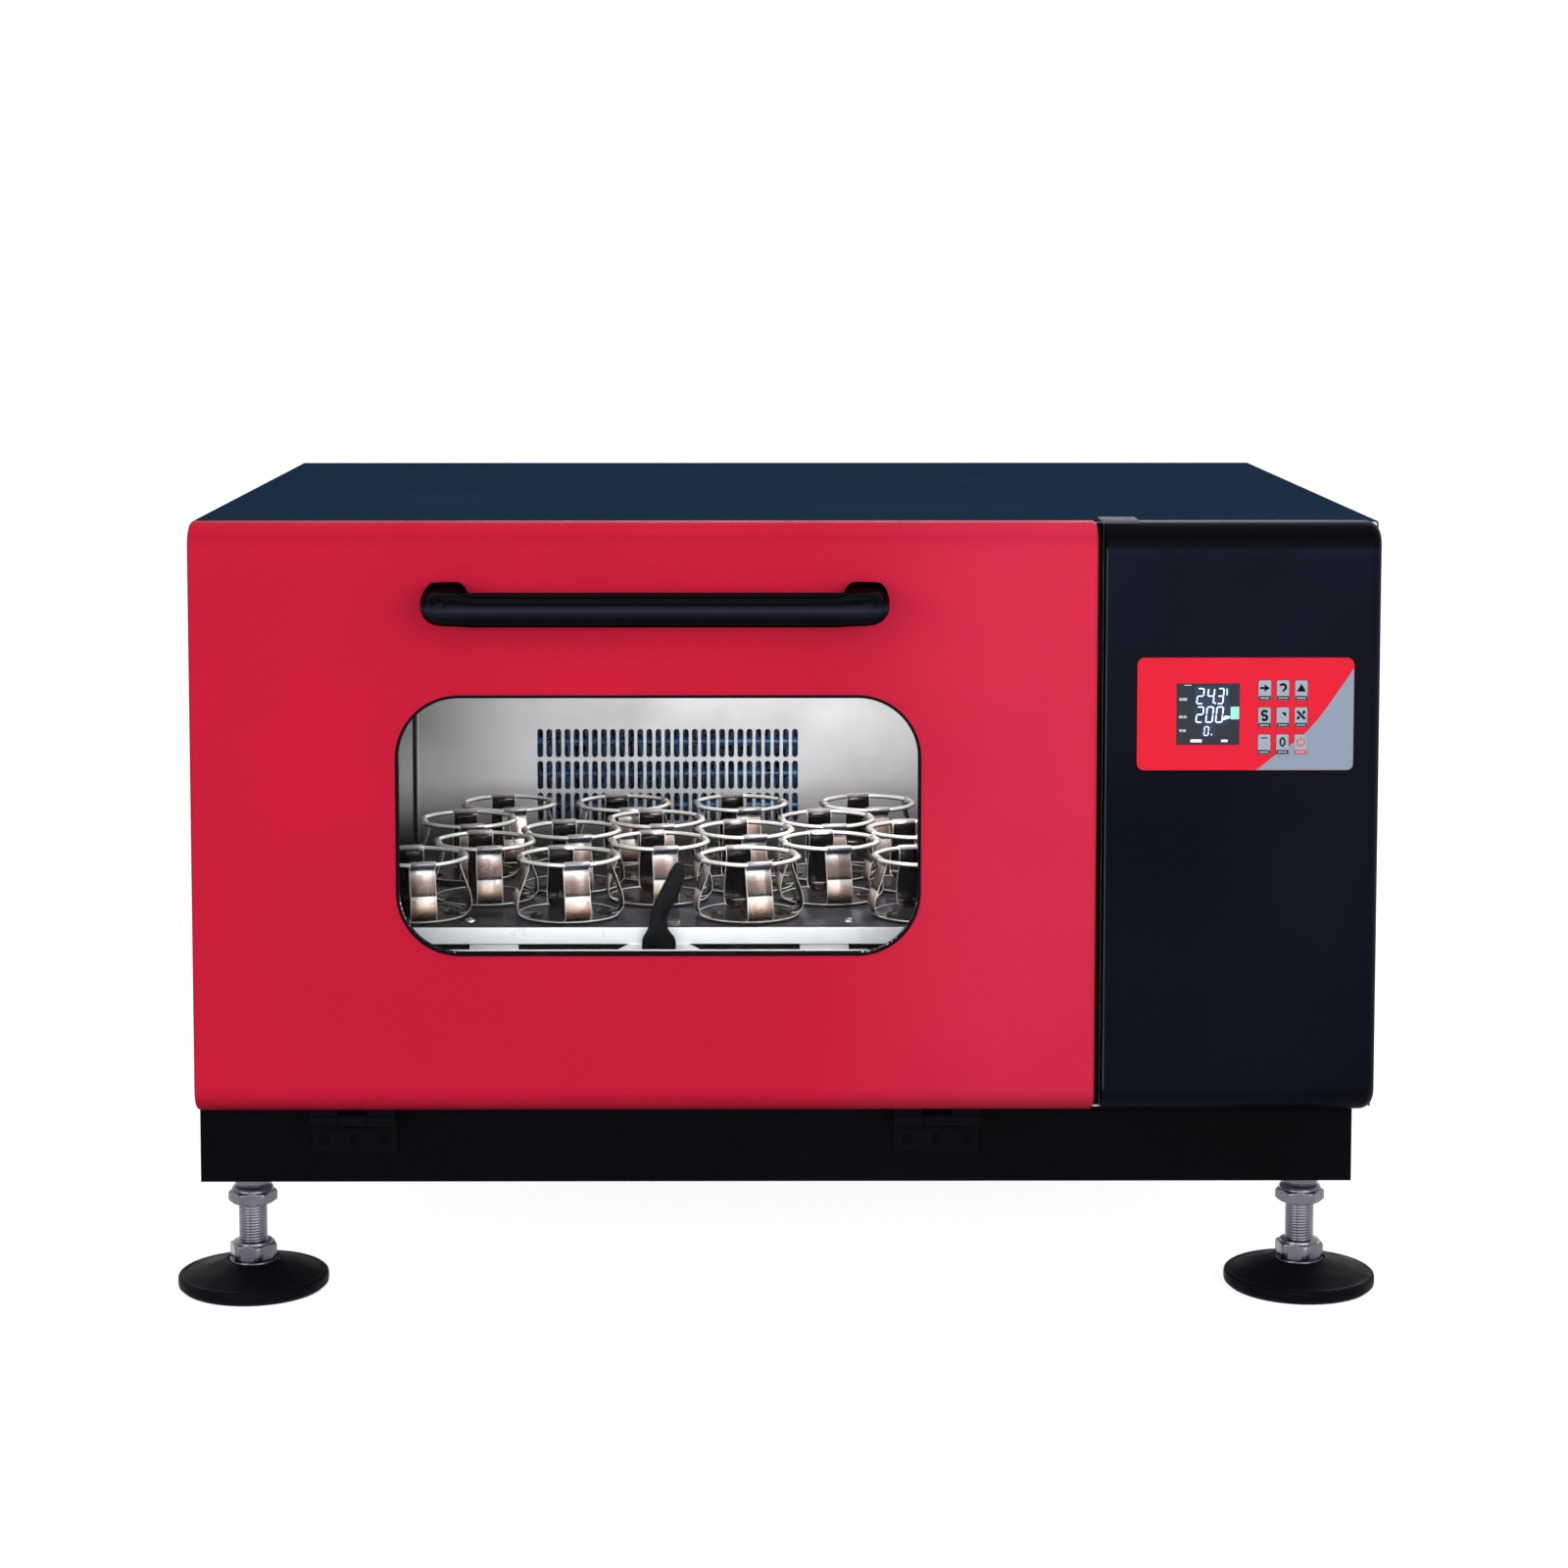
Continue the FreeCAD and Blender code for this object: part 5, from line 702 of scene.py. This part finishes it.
def lever_shape():
    """Moulded lever: a block at the pivot, a neck, and an arm that leans right to a rounded grip."""
    rows = (  # height above the pivot, middle, half width, half depth
        (-8.5, 0, 11.5, 2.6), (-7.6, 0, 13.6, 3.8), (-4, 0, 14.4, 4.6), (8, 0, 14.4, 4.8),
        (12, -0.2, 13.4, 4.7), (16, -0.6, 10.4, 4.3), (20, -0.9, 8.2, 4.0), (25, -0.8, 7.5, 4.0),
        (31, 0.4, 7.8, 4.0), (38, 3.2, 8.6, 4.0), (46, 7.2, 8.9, 4.0), (54, 11.0, 8.7, 4.0),
        (62, 14.0, 7.8, 4.0), (68, 15.8, 6.6, 3.8), (73, 17.0, 5.0, 3.2), (76, 17.4, 2.4, 1.6))
    angles = [math.tau * k / LEVER_SIDES for k in range(LEVER_SIDES)]
    square = [[math.copysign(abs(part) ** 0.7, part) for part in (math.cos(a), math.sin(a))] for a in angles]
    rings = [[(PIVOT_X + middle + wide * u, LEVER_Y + deep * v, PIVOT_Z + up) for u, v in square]
             for up, middle, wide, deep in rows]
    pin = lathe([(0, 0), (2.9, 0), (2.9, 12), (0, 12)], LEVER_SIDES)
    cap = lathe([(0, 0), (3.2, 0), (2.4, 1.2), (0, 1.4)], LEVER_SIDES)
    return join(loft(rings), moved(pin, at(PIVOT_X, LOCK.front - 1, PIVOT_Z) @ TO_REAR),
                moved(cap, at(PIVOT_X, LEVER_Y - 4.6, PIVOT_Z) @ TO_FRONT))


piece("lock_lever_grip", lever_shape(), lever_black, "lock_lever", "matte_black", "lock_lever",
      sharp=50)


# Slotted duct cover

SLOT_ROWS, SLOT_ROW_STEP, SLOT_LOW, SLOT_HIGH = 3, 31.4, DUCT.low + 64, 28
SLOT_COLUMNS, SLOT_STEP, SLOT_LEFT, SLOT_WIDE = 29, 8.87, DUCT.left + 153.6, 5.8
INTAKE_MIDDLE, INTAKE_SLOTS = Vector((DRIVE_X, DUCT.low + 268)), 12
FOLD_X = DUCT.left + 37.5  # the front sheet's folded left edge


def duct_cover():
    """Front sheet with its slots and round intake, its folded left edge and the margin beside it."""
    slots = []
    for row in range(SLOT_ROWS):
        for column in range(SLOT_COLUMNS):
            left, low = SLOT_LEFT + SLOT_STEP * column, SLOT_LOW + SLOT_ROW_STEP * row
            slots.append(rounded(left, left + SLOT_WIDE, low, low + SLOT_HIGH, 2.85, 5))
    intake = []
    for k in range(INTAKE_SLOTS):
        spin = turn(360 / INTAKE_SLOTS * k).to_2x2()
        intake.append([tuple(spin @ Vector(p) + INTAKE_MIDDLE) for p in rounded(14, 46, -3.5, 3.5, 3.2, 4)])
    right, low, top = DUCT.right - 0.2, DUCT.low, DUCT.top - 0.2
    outline = [(FOLD_X, low), (right, low), (right, top), (FOLD_X, top)]
    sheet = front_slab([outline] + slots + intake, DUCT.front, DUCT.back - 0.1)
    fold = tube([(FOLD_X - 0.4, DUCT.front + 0.4, level) for level in (low + 0.5, top - 0.3)], 1.5, 12)
    margin = front_slab([rounded(DUCT.left + 0.3, FOLD_X - 5.5, low, top, 0.8, 3)],
                        DUCT.back - 0.9, DUCT.back)
    return join(sheet, fold, margin)


piece("duct_cover_sheet", duct_cover(), duct_painted_shade, "cabinet", "stainless", "duct_panel")


# Door handle

def dense(outline, step):
    """The outline with points at most about a step apart."""
    points = []
    for point, after in zip(outline, outline[1:] + outline[:1]):
        one, other = Vector(point), Vector(after)
        count = max(1, int((other - one).length / step))
        points += [tuple(one.lerp(other, s / count)) for s in range(count)]
    return points


def clamped(value):
    """The value, kept between 0 and 1."""
    return max(0.0, min(1.0, value))


def handle_shape():
    """Rounded bail: the bar turns back into the door at both ends, where it is thicker."""
    left, right, front, back = HANDLE.left, HANDLE.right, HANDLE.front, HANDLE.back
    deep, half_high, outer, inner, leg = 20, 12.2, 25, 10, 37
    level, leg_rise, leg_grow = HANDLE.low + 12.4, 5.4, 0.24
    outline = [(left, back)]
    outline += arc(left + outer, front + outer, outer, 180, 270, 10)
    outline += arc(right - outer, front + outer, outer, 270, 360, 10)
    outline += [(right, back), (right - leg, back)]
    outline += arc(right - leg - inner, front + deep + inner, inner, 0, -90, 10)
    outline += arc(left + leg + inner, front + deep + inner, inner, 270, 180, 10)
    outline += [(left + leg, back)]
    # close points along the sides let the legs be made taller than the bar
    points, faces = slab([dense(outline, 9)], -half_high, half_high, 9.2, 7)
    shaped = []
    for x, y, z in points:
        inward = min(x - left, right - x)
        near = max(0.0, 1 - max(0.0, inward - leg + 10) / 18)
        far = clamped((y - front - 4) / 34)
        ease = near * near * (3 - 2 * near) * (0.35 + 0.65 * far)
        end = clamped(1 - inward / 17)
        tuck = 1 - (0.42 if z < 0 else 0.22) * (1 - math.sqrt(1 - end * end))
        shaped.append((x, min(y, back), z * tuck * (1 + leg_grow * ease) + level + leg_rise * ease))
    return shaped, faces


piece("door_handle_bail", handle_shape(), gloss_black, "door", "gloss_black", "door_handle",
      sharp=60)


# Levelling feet

def thread(radius, low, high, pitch, depth, sides=28):
    """A real screw thread, closed at both ends."""
    rows = int((high - low) / pitch * 6)
    rings = []
    for row in range(rows + 1):
        z = low + (high - low) * row / rows
        ring = []
        for k in range(sides):
            phase = ((z - low) / pitch - k / sides) % 1
            reach = radius - depth * (1 - abs(2 * phase - 1))
            a = math.tau * k / sides
            ring.append((reach * math.cos(a), reach * math.sin(a), z))
        rings.append(ring)
    return loft(rings)


def hexagon_nut(flats, low, high, bore=0.0, sides=48):
    """A hexagon with its corners turned off at both ends."""
    flat = flats / 2
    reach = flat / math.cos(math.radians(30))
    lean = (reach - flat) * 0.55
    rings = []
    for level, limit in ((low, flat), (low + lean * 0.4, flat + lean), (low + lean, reach),
                         (high - lean, reach), (high - lean * 0.4, flat + lean), (high, flat)):
        ring = []
        for k in range(sides):
            a = math.tau * k / sides
            out = min(limit, flat / math.cos((a + math.pi / 6) % (math.pi / 3) - math.pi / 6))
            ring.append((out * math.cos(a), out * math.sin(a), level))
        rings.append(ring)
    if not bore:
        return loft(rings)
    hole = ring_of(0, 0, bore, sides)
    return loft([raised(hole, low)] + rings + [raised(hole, high)], closed=True)


def pad_shape():
    """Rubber pad with a rounded rim, a raised lip and a sloped top."""
    return lathe([(0, 0), (58, 0), (60.5, 0.6), (61.2, 2.0), (62.6, 2.4), (63.6, 3.4), (64, 5.2), (64, 9.4),
                  (63.6, 11.2), (62.4, 12.2), (60.6, 12.5), (59.2, 12.2), (57.6, 12.6), (40, 19.2),
                  (26, 23.2), (23.4, 24.4), (22.4, 24.4), (21.4, 24.0), (21.2, 19.6), (0, 19.6)], 96)


def stud_shape():
    """Threaded stud with its collar and hexagon."""
    collar = lathe([(0, 19.5), (21, 19.5), (21, 22.6), (20.2, 24.5), (17.4, 24.6), (0, 24.6)], 48)
    neck = lathe([(0, 38.2), (16.8, 38.3), (16.2, 40.2), (12.4, 41.4), (12.2, 42), (0, 42)], 48)
    return join(collar, hexagon_nut(36, 24.4, 38.4), neck, thread(12.2, 41.6, 149, 2.4, 0.36))


def lock_nut_shape():
    """Hexagon with a waisted collar above it."""
    collar = lathe([(12.3, 83.8), (17.2, 83.8), (18.0, 84.6), (17.6, 86.4), (16.2, 88.2), (14.6, 89.2),
                    (14.2, 90.2), (15.3, 91.0), (15.4, 103.9), (12.3, 103.9), (12.3, 83.8)], 48)
    return join(hexagon_nut(36, 74, 84, 12.3), collar)


FEET = [(name, *[round(value, 1) for value in Box("levelling_foot_" + name).middle[:2]], spin)
        for name, spin in (("front_left", 20), ("front_right", 8), ("rear_left", 14), ("rear_right", 25))]
for name, x, y, spin in FEET:
    node = "levelling_foot_" + name
    piece("foot_pad_" + name, moved(pad_shape(), at(x, y)), rubber, node + "_unit", "black_rubber", node)
    piece("foot_stud_" + name, moved(stud_shape(), at(x, y) @ turn(spin)), plated, node + "_unit",
          "plated_steel", node)
piece("foot_lock_nut_set", join(*[moved(lock_nut_shape(), at(x, y) @ turn(spin + 17))
                                  for name, x, y, spin in FEET]),
      plated, "cabinet", "plated_steel", "foot_lock_nuts")


# Hinge screws

def countersunk_screw():
    """Head with a hexagon socket, flush with the leaf."""
    head = slab([ring_of(0, 0, 4.5, 30), ring_of(0, 0, 1.5, 6)], 2.2, 2.95, 0.12, 1)
    return join(head, lathe([(0, -5.8), (2.2, -5.6), (2.4, 0), (4.4, 2.3), (0, 2.3)], 30))


SCREW_STEP, SCREW_IN = 25, 29.6  # between screws, and from the heads' outer edge to a hinge's middle
piece("hinge_screw_set", join(*[
    moved(countersunk_screw(), at(middle + SCREW_STEP * k, SCREWS.front + 3, SCREWS.middle[2]) @ TO_FRONT)
    for middle in (SCREWS.left + SCREW_IN, SCREWS.right - SCREW_IN) for k in (-1, 0, 1)]),
      screw_steel, "cabinet", "black_steel", "hinge_screws")


# Control panel

SWEEP_RIGHT, SWEEP_LOW, SWEEP_CORNER = 177.75, 0.25, 4.5  # from the panel's lower left corner
SWEEP = ((SWEEP_RIGHT, 84.4), (166.5, 67.5), (153, 48), (144.9, 38), (137.5, 29.9), (127.4, 21.8),
         (113.9, 12.4), (103.1, 3.7), (97.7, SWEEP_LOW))


def sweep_film():
    """Grey film whose left edge sweeps up to the panel's right."""
    corner = arc(SWEEP_RIGHT - SWEEP_CORNER, SWEEP_LOW + SWEEP_CORNER, SWEEP_CORNER, 270, 360, 8)
    line = [tuple(p) for p in smooth_line(SWEEP, 4)]
    film = front_slab([line + corner], PANEL.front - 0.14, PANEL.front + 0.02)
    return moved(film, at(PANEL.left, 0, PANEL.low))


piece("panel_sweep", sweep_film(), panel_grey, "cabinet", "display_film")


def lcd(text, left, low, wide, high, gap, thick):
    """Seven-segment digits, leaning a little."""
    bars = {"a": (0, 2, 1, 2), "b": (1, 2, 1, 1), "c": (1, 1, 1, 0), "d": (0, 0, 1, 0), "e": (0, 1, 0, 0),
            "f": (0, 2, 0, 1), "g": (0, 1, 1, 1)}
    lit = {"0": "abcdef", "2": "abged", "3": "abgcd", "4": "fgbc"}
    loops, x = [], left
    for digit in text:
        for key in lit[digit]:
            one, other = (Vector((x + u * wide + 0.1 * v * high / 2, low + v * high / 2))
                          for u, v in (bars[key][:2], bars[key][2:]))
            along = (other - one).normalized()
            a, b = one + along * thick * 0.62, other - along * thick * 0.62
            side = Vector((-along.y, along.x)) * thick / 2
            tip = along * thick / 2
            loops.append([tuple(p) for p in (a - tip, a + side, b + side, b + tip, b - side, a - side)])
        x += wide + gap
    return loops


def display_marks():
    """Three rows of digits with their units, labels and bars; places are from the lower left corner."""
    def plate(loops, front, back):
        return moved(front_slab(loops, DISPLAY.front + front, DISPLAY.front + back),
                     at(DISPLAY.left, 0, DISPLAY.low))

    def mark(name, loops, finish):
        piece(name, plate(loops, -0.12, -0.04), finish, "cabinet", "display_film")
    digits = lcd("24", 16.6, 34.3, 5.0, 12.4, 3.6, 1.15) + lcd("3", 33.4, 34.3, 4.6, 12.4, 3.6, 1.15)
    digits += lcd("200", 16.1, 18.9, 5.2, 12.6, 2.9, 1.2) + lcd("0", 22.8, 7.9, 3.4, 7.2, 1, 0.9)
    digits += [ring_of(31.7, 34.7, 0.8, 12), ring_of(29.1, 8.7, 0.6, 12)]
    digits += [bar(38.6, 20.9, 40.2, 23.7, 1.0), bar(40.0, 23.7, 44.4, 23.2, 1.3)]
    digits += [rounded(11.8, 21.2, 2.3, 4.6, 0.3, 2), rounded(37.1, 42.4, 2.5, 4.4, 0.3, 2)]
    labels = [rounded(left, right, low, high, 0.3, 2) for left, right, low, high in (
        (2.4, 4.4, 36.6, 39.0), (4.8, 8.7, 36.6, 39.0), (2.2, 5.6, 22.2, 24.3), (6.0, 8.7, 22.2, 24.3),
        (2.5, 4.8, 10.8, 13.0), (5.2, 8.0, 10.8, 13.0), (6.2, 12.2, 49.1, 49.9))]
    mark("display_digits", digits, digit_white)
    mark("display_labels", labels, mark_pale)
    halo = [rounded(14.8, 43.8, 16.7, 48.9, 4.5, 6), rounded(20.4, 32.2, 5.9, 17.3, 2.0, 5)]
    piece("display_halo", join(*[plate([loop], -0.05 + 0.004 * k, 0.02) for k, loop in enumerate(halo)]),
          digit_halo, "cabinet", "display_film")
    green = [rounded(44.7, 51.6, 21.3, 31.7, 0.5, 3), rounded(40.8, 42.2, 41.1, 46.7, 0.3, 2)]
    mark("display_bar", green, display_green)


display_marks()


KEY_SIGNS = {  # closed outlines about each sign's middle, by the key's row and column
    (1, 1): [[(-3, -0.7), (-0.2, -0.7), (-0.2, -2.3), (3, 0), (-0.2, 2.3), (-0.2, 0.7), (-3, 0.7)]],
    (1, 2): [arc_band(-0.2, 0.5, 1.8, 1.5, 150, -75), bar(0.3, -1.2, 0.3, -2.8, 1.5)],
    (1, 3): [[(-2.8, -2.2), (2.8, -2.2), (0, 2.6)]],
    (2, 1): [arc_band(0, 1.1, 1.5, 1.5, 20, 270), arc_band(0, -1.6, 1.5, 1.5, 90, -160)],
    (2, 2): [[(-0.9, 1.7), (1.9, 1.7), (1.9, -1.1)]],
    (2, 3): [bar(-2.4, 2.4, 2.4, -2.4, 1.5), bar(-2.4, -2.4, -0.9, -0.9, 1.5), bar(0.9, 0.9, 2.4, 2.4, 1.5)],
    (3, 1): [bar(-1.9, 2.6, 1.9, 2.6, 0.7)],
    (3, 2): [ring_of(0, 0, 1.9, 24, 1.55), ring_of(0, 0, 0.85, 24, 2.25)],
    (3, 3): [arc_band(0, 0, 2.3, 0.8, 125, 415), bar(0, 0.4, 0, 3.0, 0.8)],
}
SIGN_SIZE, SIGN_UP = 1.34, 2.0
RED_KEY = 3, 3


def dress_key(row, column):
    """Bevelled cap, its sign, and a label below with dashes in place of words."""
    node = "key_%d_%d" % (row, column)
    body, box = node + "_cap", Box(node)
    x, z, front = box.middle[0], box.middle[2], box.front
    cap = join(front_slab([around(x, z, 5.2, 8.25, 1.2, 5)], front, front + 2.4, 0.25, 3),
               front_slab([around(x, z, 6.7, 9.75, 0.4, 3)], front + 3.1, front + 4.3, 0.1, 1),
               front_slab([around(x, z, 4.6, 7.6, 0.8, 3)], front + 2.2, box.back))
    piece("cap_" + node, cap, key_silver, body, "key_silver", node)
    red = (row, column) == RED_KEY
    sign = [[(x + SIGN_SIZE * u, z + SIGN_UP + SIGN_SIZE * v) for u, v in loop]
            for loop in KEY_SIGNS[row, column]]
    piece("sign_" + node, front_slab(sign, front - 0.1, front + 0.02), mark_red if red else key_mark, body,
          "key_silver")
    label = front_slab([rounded(x - 4.9, x + 4.9, z - 7.9, z - 4.6, 0.5, 3)], front - 0.06, front + 0.02)
    piece("label_" + node, label, mark_red if red else key_label, body, "key_silver")
    dashes = [rounded(left, left + 1.4, z - 6.9, z - 5.7, 0.2, 2)
              for left in (x - 3.6 + 1.9 * k for k in range(4))]
    piece("dashes_" + node, front_slab(dashes, front - 0.12, front - 0.04), mark_pale, body, "key_silver")


for row, column in KEY_SIGNS:
    dress_key(row, column)


# Trim of the door and the column, with a painted highlight and a painted shade strip

def column_plate():
    """Thin plate with a hole on the column's crest, its front pressed over the roll."""
    middle, wide, thick, roll, front, back = 281.5, 30.6, 1.3, 20.0, -321, -294
    flat = slab([rounded(middle - wide / 2, middle + wide / 2, front, back, 1.2, 4),
                 ring_of(middle + 9, -308, 2.4, 20)], COLUMN.top + 0.05, COLUMN.top + 1.1, 0.15, 1)
    bend = [(front + 0.4, COLUMN.top + 0.6)]
    bend += arc(COLUMN.front + roll, COLUMN.top - roll, roll + 0.8, 94, 114, 4)
    pressed = strip([Vector(point) for point in bend], wide, thick)
    return join(flat, moved(pressed, at(middle) @ turn(90)))


SILL_LEFT, SILL_RIGHT, SILL_LOW, SILL_TOP = -298, 102, 295.5, 299.2
HIGHLIGHT_LOW, HIGHLIGHT_TOP = 190, 640.5

piece("inner_sill_edge", front_slab([rounded(SILL_LEFT, SILL_RIGHT, SILL_LOW, SILL_TOP, 0.5, 2)],
                                    LINER.back - 1.3, LINER.back - 0.2, 0.1, 1),
      flange_steel, "door", "stainless")
piece("column_plate", column_plate(), tab_steel, "cabinet", "plated_steel", "column_tab")
# Painted highlight: a thin strip on the column's left front edge.
piece("column_edge_highlight", front_slab([rounded(COLUMN.left + 0.05, COLUMN.left + 0.7, HIGHLIGHT_LOW, HIGHLIGHT_TOP,
                                              0.2, 2)], COLUMN.front - 0.08, COLUMN.front + 0.8),
      edge_highlight_steel, "cabinet", "plated_steel")
# Painted shade: a black strip deep in the gap between door and column.
piece("column_gap_shade_strip", front_slab([rounded(DOOR.right + 0.4, COLUMN.left - 0.3, COLUMN.low + 1.7,
                                              COLUMN.top - 1.8, 0.4, 2)],
                                     COLUMN.back - 1.4, COLUMN.back + 0.1, 0.2, 1),
      rubber, "cabinet", "black_rubber")


# Rear panel

def socket_pins():
    """Three flat pins in the mains socket."""
    x, z = INLET.middle[0], INLET.low + 25
    return join(*[front_slab([around(x + dx, z + dz, 1, 2, 0.5, 3)], INLET.front + 12, INLET.back - 3)
                  for dx, dz in ((-7, -3), (7, -3), (0, 5))])


def rear_screws():
    """Pan heads with a cross slot round the rear panel's edge."""
    head = join(lathe([(0, 1.7), (2.2, 1.6), (3.4, 1.1), (3.9, 0.3), (4.0, 0), (0, 0)], 24),
                slab([bar(-1.9, 0, 1.9, 0, 0.7)], 1.5, 1.78), slab([bar(0, -1.9, 0, 1.9, 0.7)], 1.5, 1.78))
    columns, rows, side_rows = (-472, -232, 6, 245, 484), (180, 651), (337, 494)
    spots = [(x, z) for z in rows for x in columns]
    spots += [(x, z) for x in (columns[0], columns[-1]) for z in side_rows]
    return join(*[moved(head, at(x, REAR.back, z) @ TO_REAR) for x, z in spots])


piece("rear_screw_set", rear_screws(), plated, "cabinet", "plated_steel")
piece("socket_pins", socket_pins(), plated, "cabinet", "plated_steel")


# Camera, stage and light

optics = bpy.data.cameras.new("camera")
optics.lens = 78.07
optics.sensor_width = 36
optics.shift_x = 0.0176
optics.shift_y = -0.17
optics.clip_end = 100
scene.camera = camera = linked("camera", optics)
camera.location = (-0.0313, -3.1123, 0.8958)
camera.rotation_euler = (math.radians(90 - 4.733), 0, math.radians(-0.281))


def any_ray(tree, *kinds):
    """1 for a ray of one of these kinds, else 0."""
    path = tree.nodes.new("ShaderNodeLightPath")
    value = path.outputs[kinds[0]]
    for kind in kinds[1:]:
        either = tree.nodes.new("ShaderNodeMath")
        either.operation = "MAXIMUM"
        tree.links.new(value, either.inputs[0])
        tree.links.new(path.outputs[kind], either.inputs[1])
        value = either.outputs[0]
    return value


def stage_material():
    """Pale floor, near white to the camera, that keeps the object's shadow."""
    material = bpy.data.materials.new("stage_floor")
    material.use_nodes = True
    nodes, links = material.node_tree.nodes, material.node_tree.links
    shader = nodes["Principled BSDF"]
    put(shader, {"Base Color": (0.5, 0.5, 0.51, 1), "Roughness": 0.9, "Specular IOR Level": 0.1})
    white = nodes.new("ShaderNodeEmission")
    both = nodes.new("ShaderNodeAddShader")
    share = nodes.new("ShaderNodeMath")
    share.operation = "MULTIPLY"
    share.inputs[1].default_value = 0.84
    links.new(any_ray(material.node_tree, "Is Camera Ray", "Is Glossy Ray"), share.inputs[0])
    links.new(share.outputs[0], white.inputs["Strength"])
    links.new(shader.outputs[0], both.inputs[0])
    links.new(white.outputs[0], both.inputs[1])
    links.new(both.outputs[0], nodes["Material Output"].inputs["Surface"])
    return material


FLOOR = 30  # half its width in metres
floor_mesh = bpy.data.meshes.new("stage_floor")
floor_mesh.from_pydata([(FLOOR * x, FLOOR * y, 0) for x, y in ((-1, -1), (1, -1), (1, 1), (-1, 1))], [],
                       [[0, 1, 2, 3]])
floor_mesh.materials.append(stage_material())
floor = linked("stage_floor", floor_mesh)

world = bpy.data.worlds.new("studio")
scene.world = world
world.use_nodes = True
tree = world.node_tree
tree.nodes.clear()
both = tree.nodes.new("ShaderNodeMixShader")
seen = any_ray(tree, "Is Camera Ray", "Is Glossy Ray", "Is Transmission Ray")
tree.links.new(seen, both.inputs[0])
for place, colour, strength in ((1, (0.93, 0.96, 1, 1), 0.46), (2, (1, 1, 1, 1), 1.0)):
    sky = tree.nodes.new("ShaderNodeBackground")
    put(sky, {"Color": colour, "Strength": strength})
    tree.links.new(sky.outputs[0], both.inputs[place])
tree.links.new(both.outputs[0], tree.nodes.new("ShaderNodeOutputWorld").inputs["Surface"])


def soft_light(name, place, aim, wide, high, power):
    """White panel of light, its places and size in metres."""
    data = bpy.data.lights.new(name, "AREA")
    data.shape = "RECTANGLE"
    data.size, data.size_y = wide, high
    data.energy = power
    lamp = linked(name, data)
    lamp.location = place
    lamp.rotation_euler = (Vector(aim) - Vector(place)).to_track_quat("-Z", "Y").to_euler()


soft_light("key_right", (1.9, -3.0, 1.3), (0.05, -0.3, 0.4), 2.0, 1.8, 33)
soft_light("front", (0.1, -3.7, 0.9), (0.05, -0.3, 0.4), 2.4, 1.3, 22)
soft_light("fill_left", (-2.3, -2.7, 1.2), (0, -0.3, 0.4), 1.8, 1.6, 26)
soft_light("top", (0, -0.9, 2.7), (0, -0.1, 0.4), 2.4, 0.7, 11)
soft_light("rear", (0.4, 2.8, 1.9), (0, 0.2, 0.4), 2.0, 1.2, 26)
soft_light("chamber", (0.12, -0.2, 0.592), (0.0, 0.1, 0.32), 0.3, 0.06, 3.4)

scene.view_settings.view_transform = "Standard"
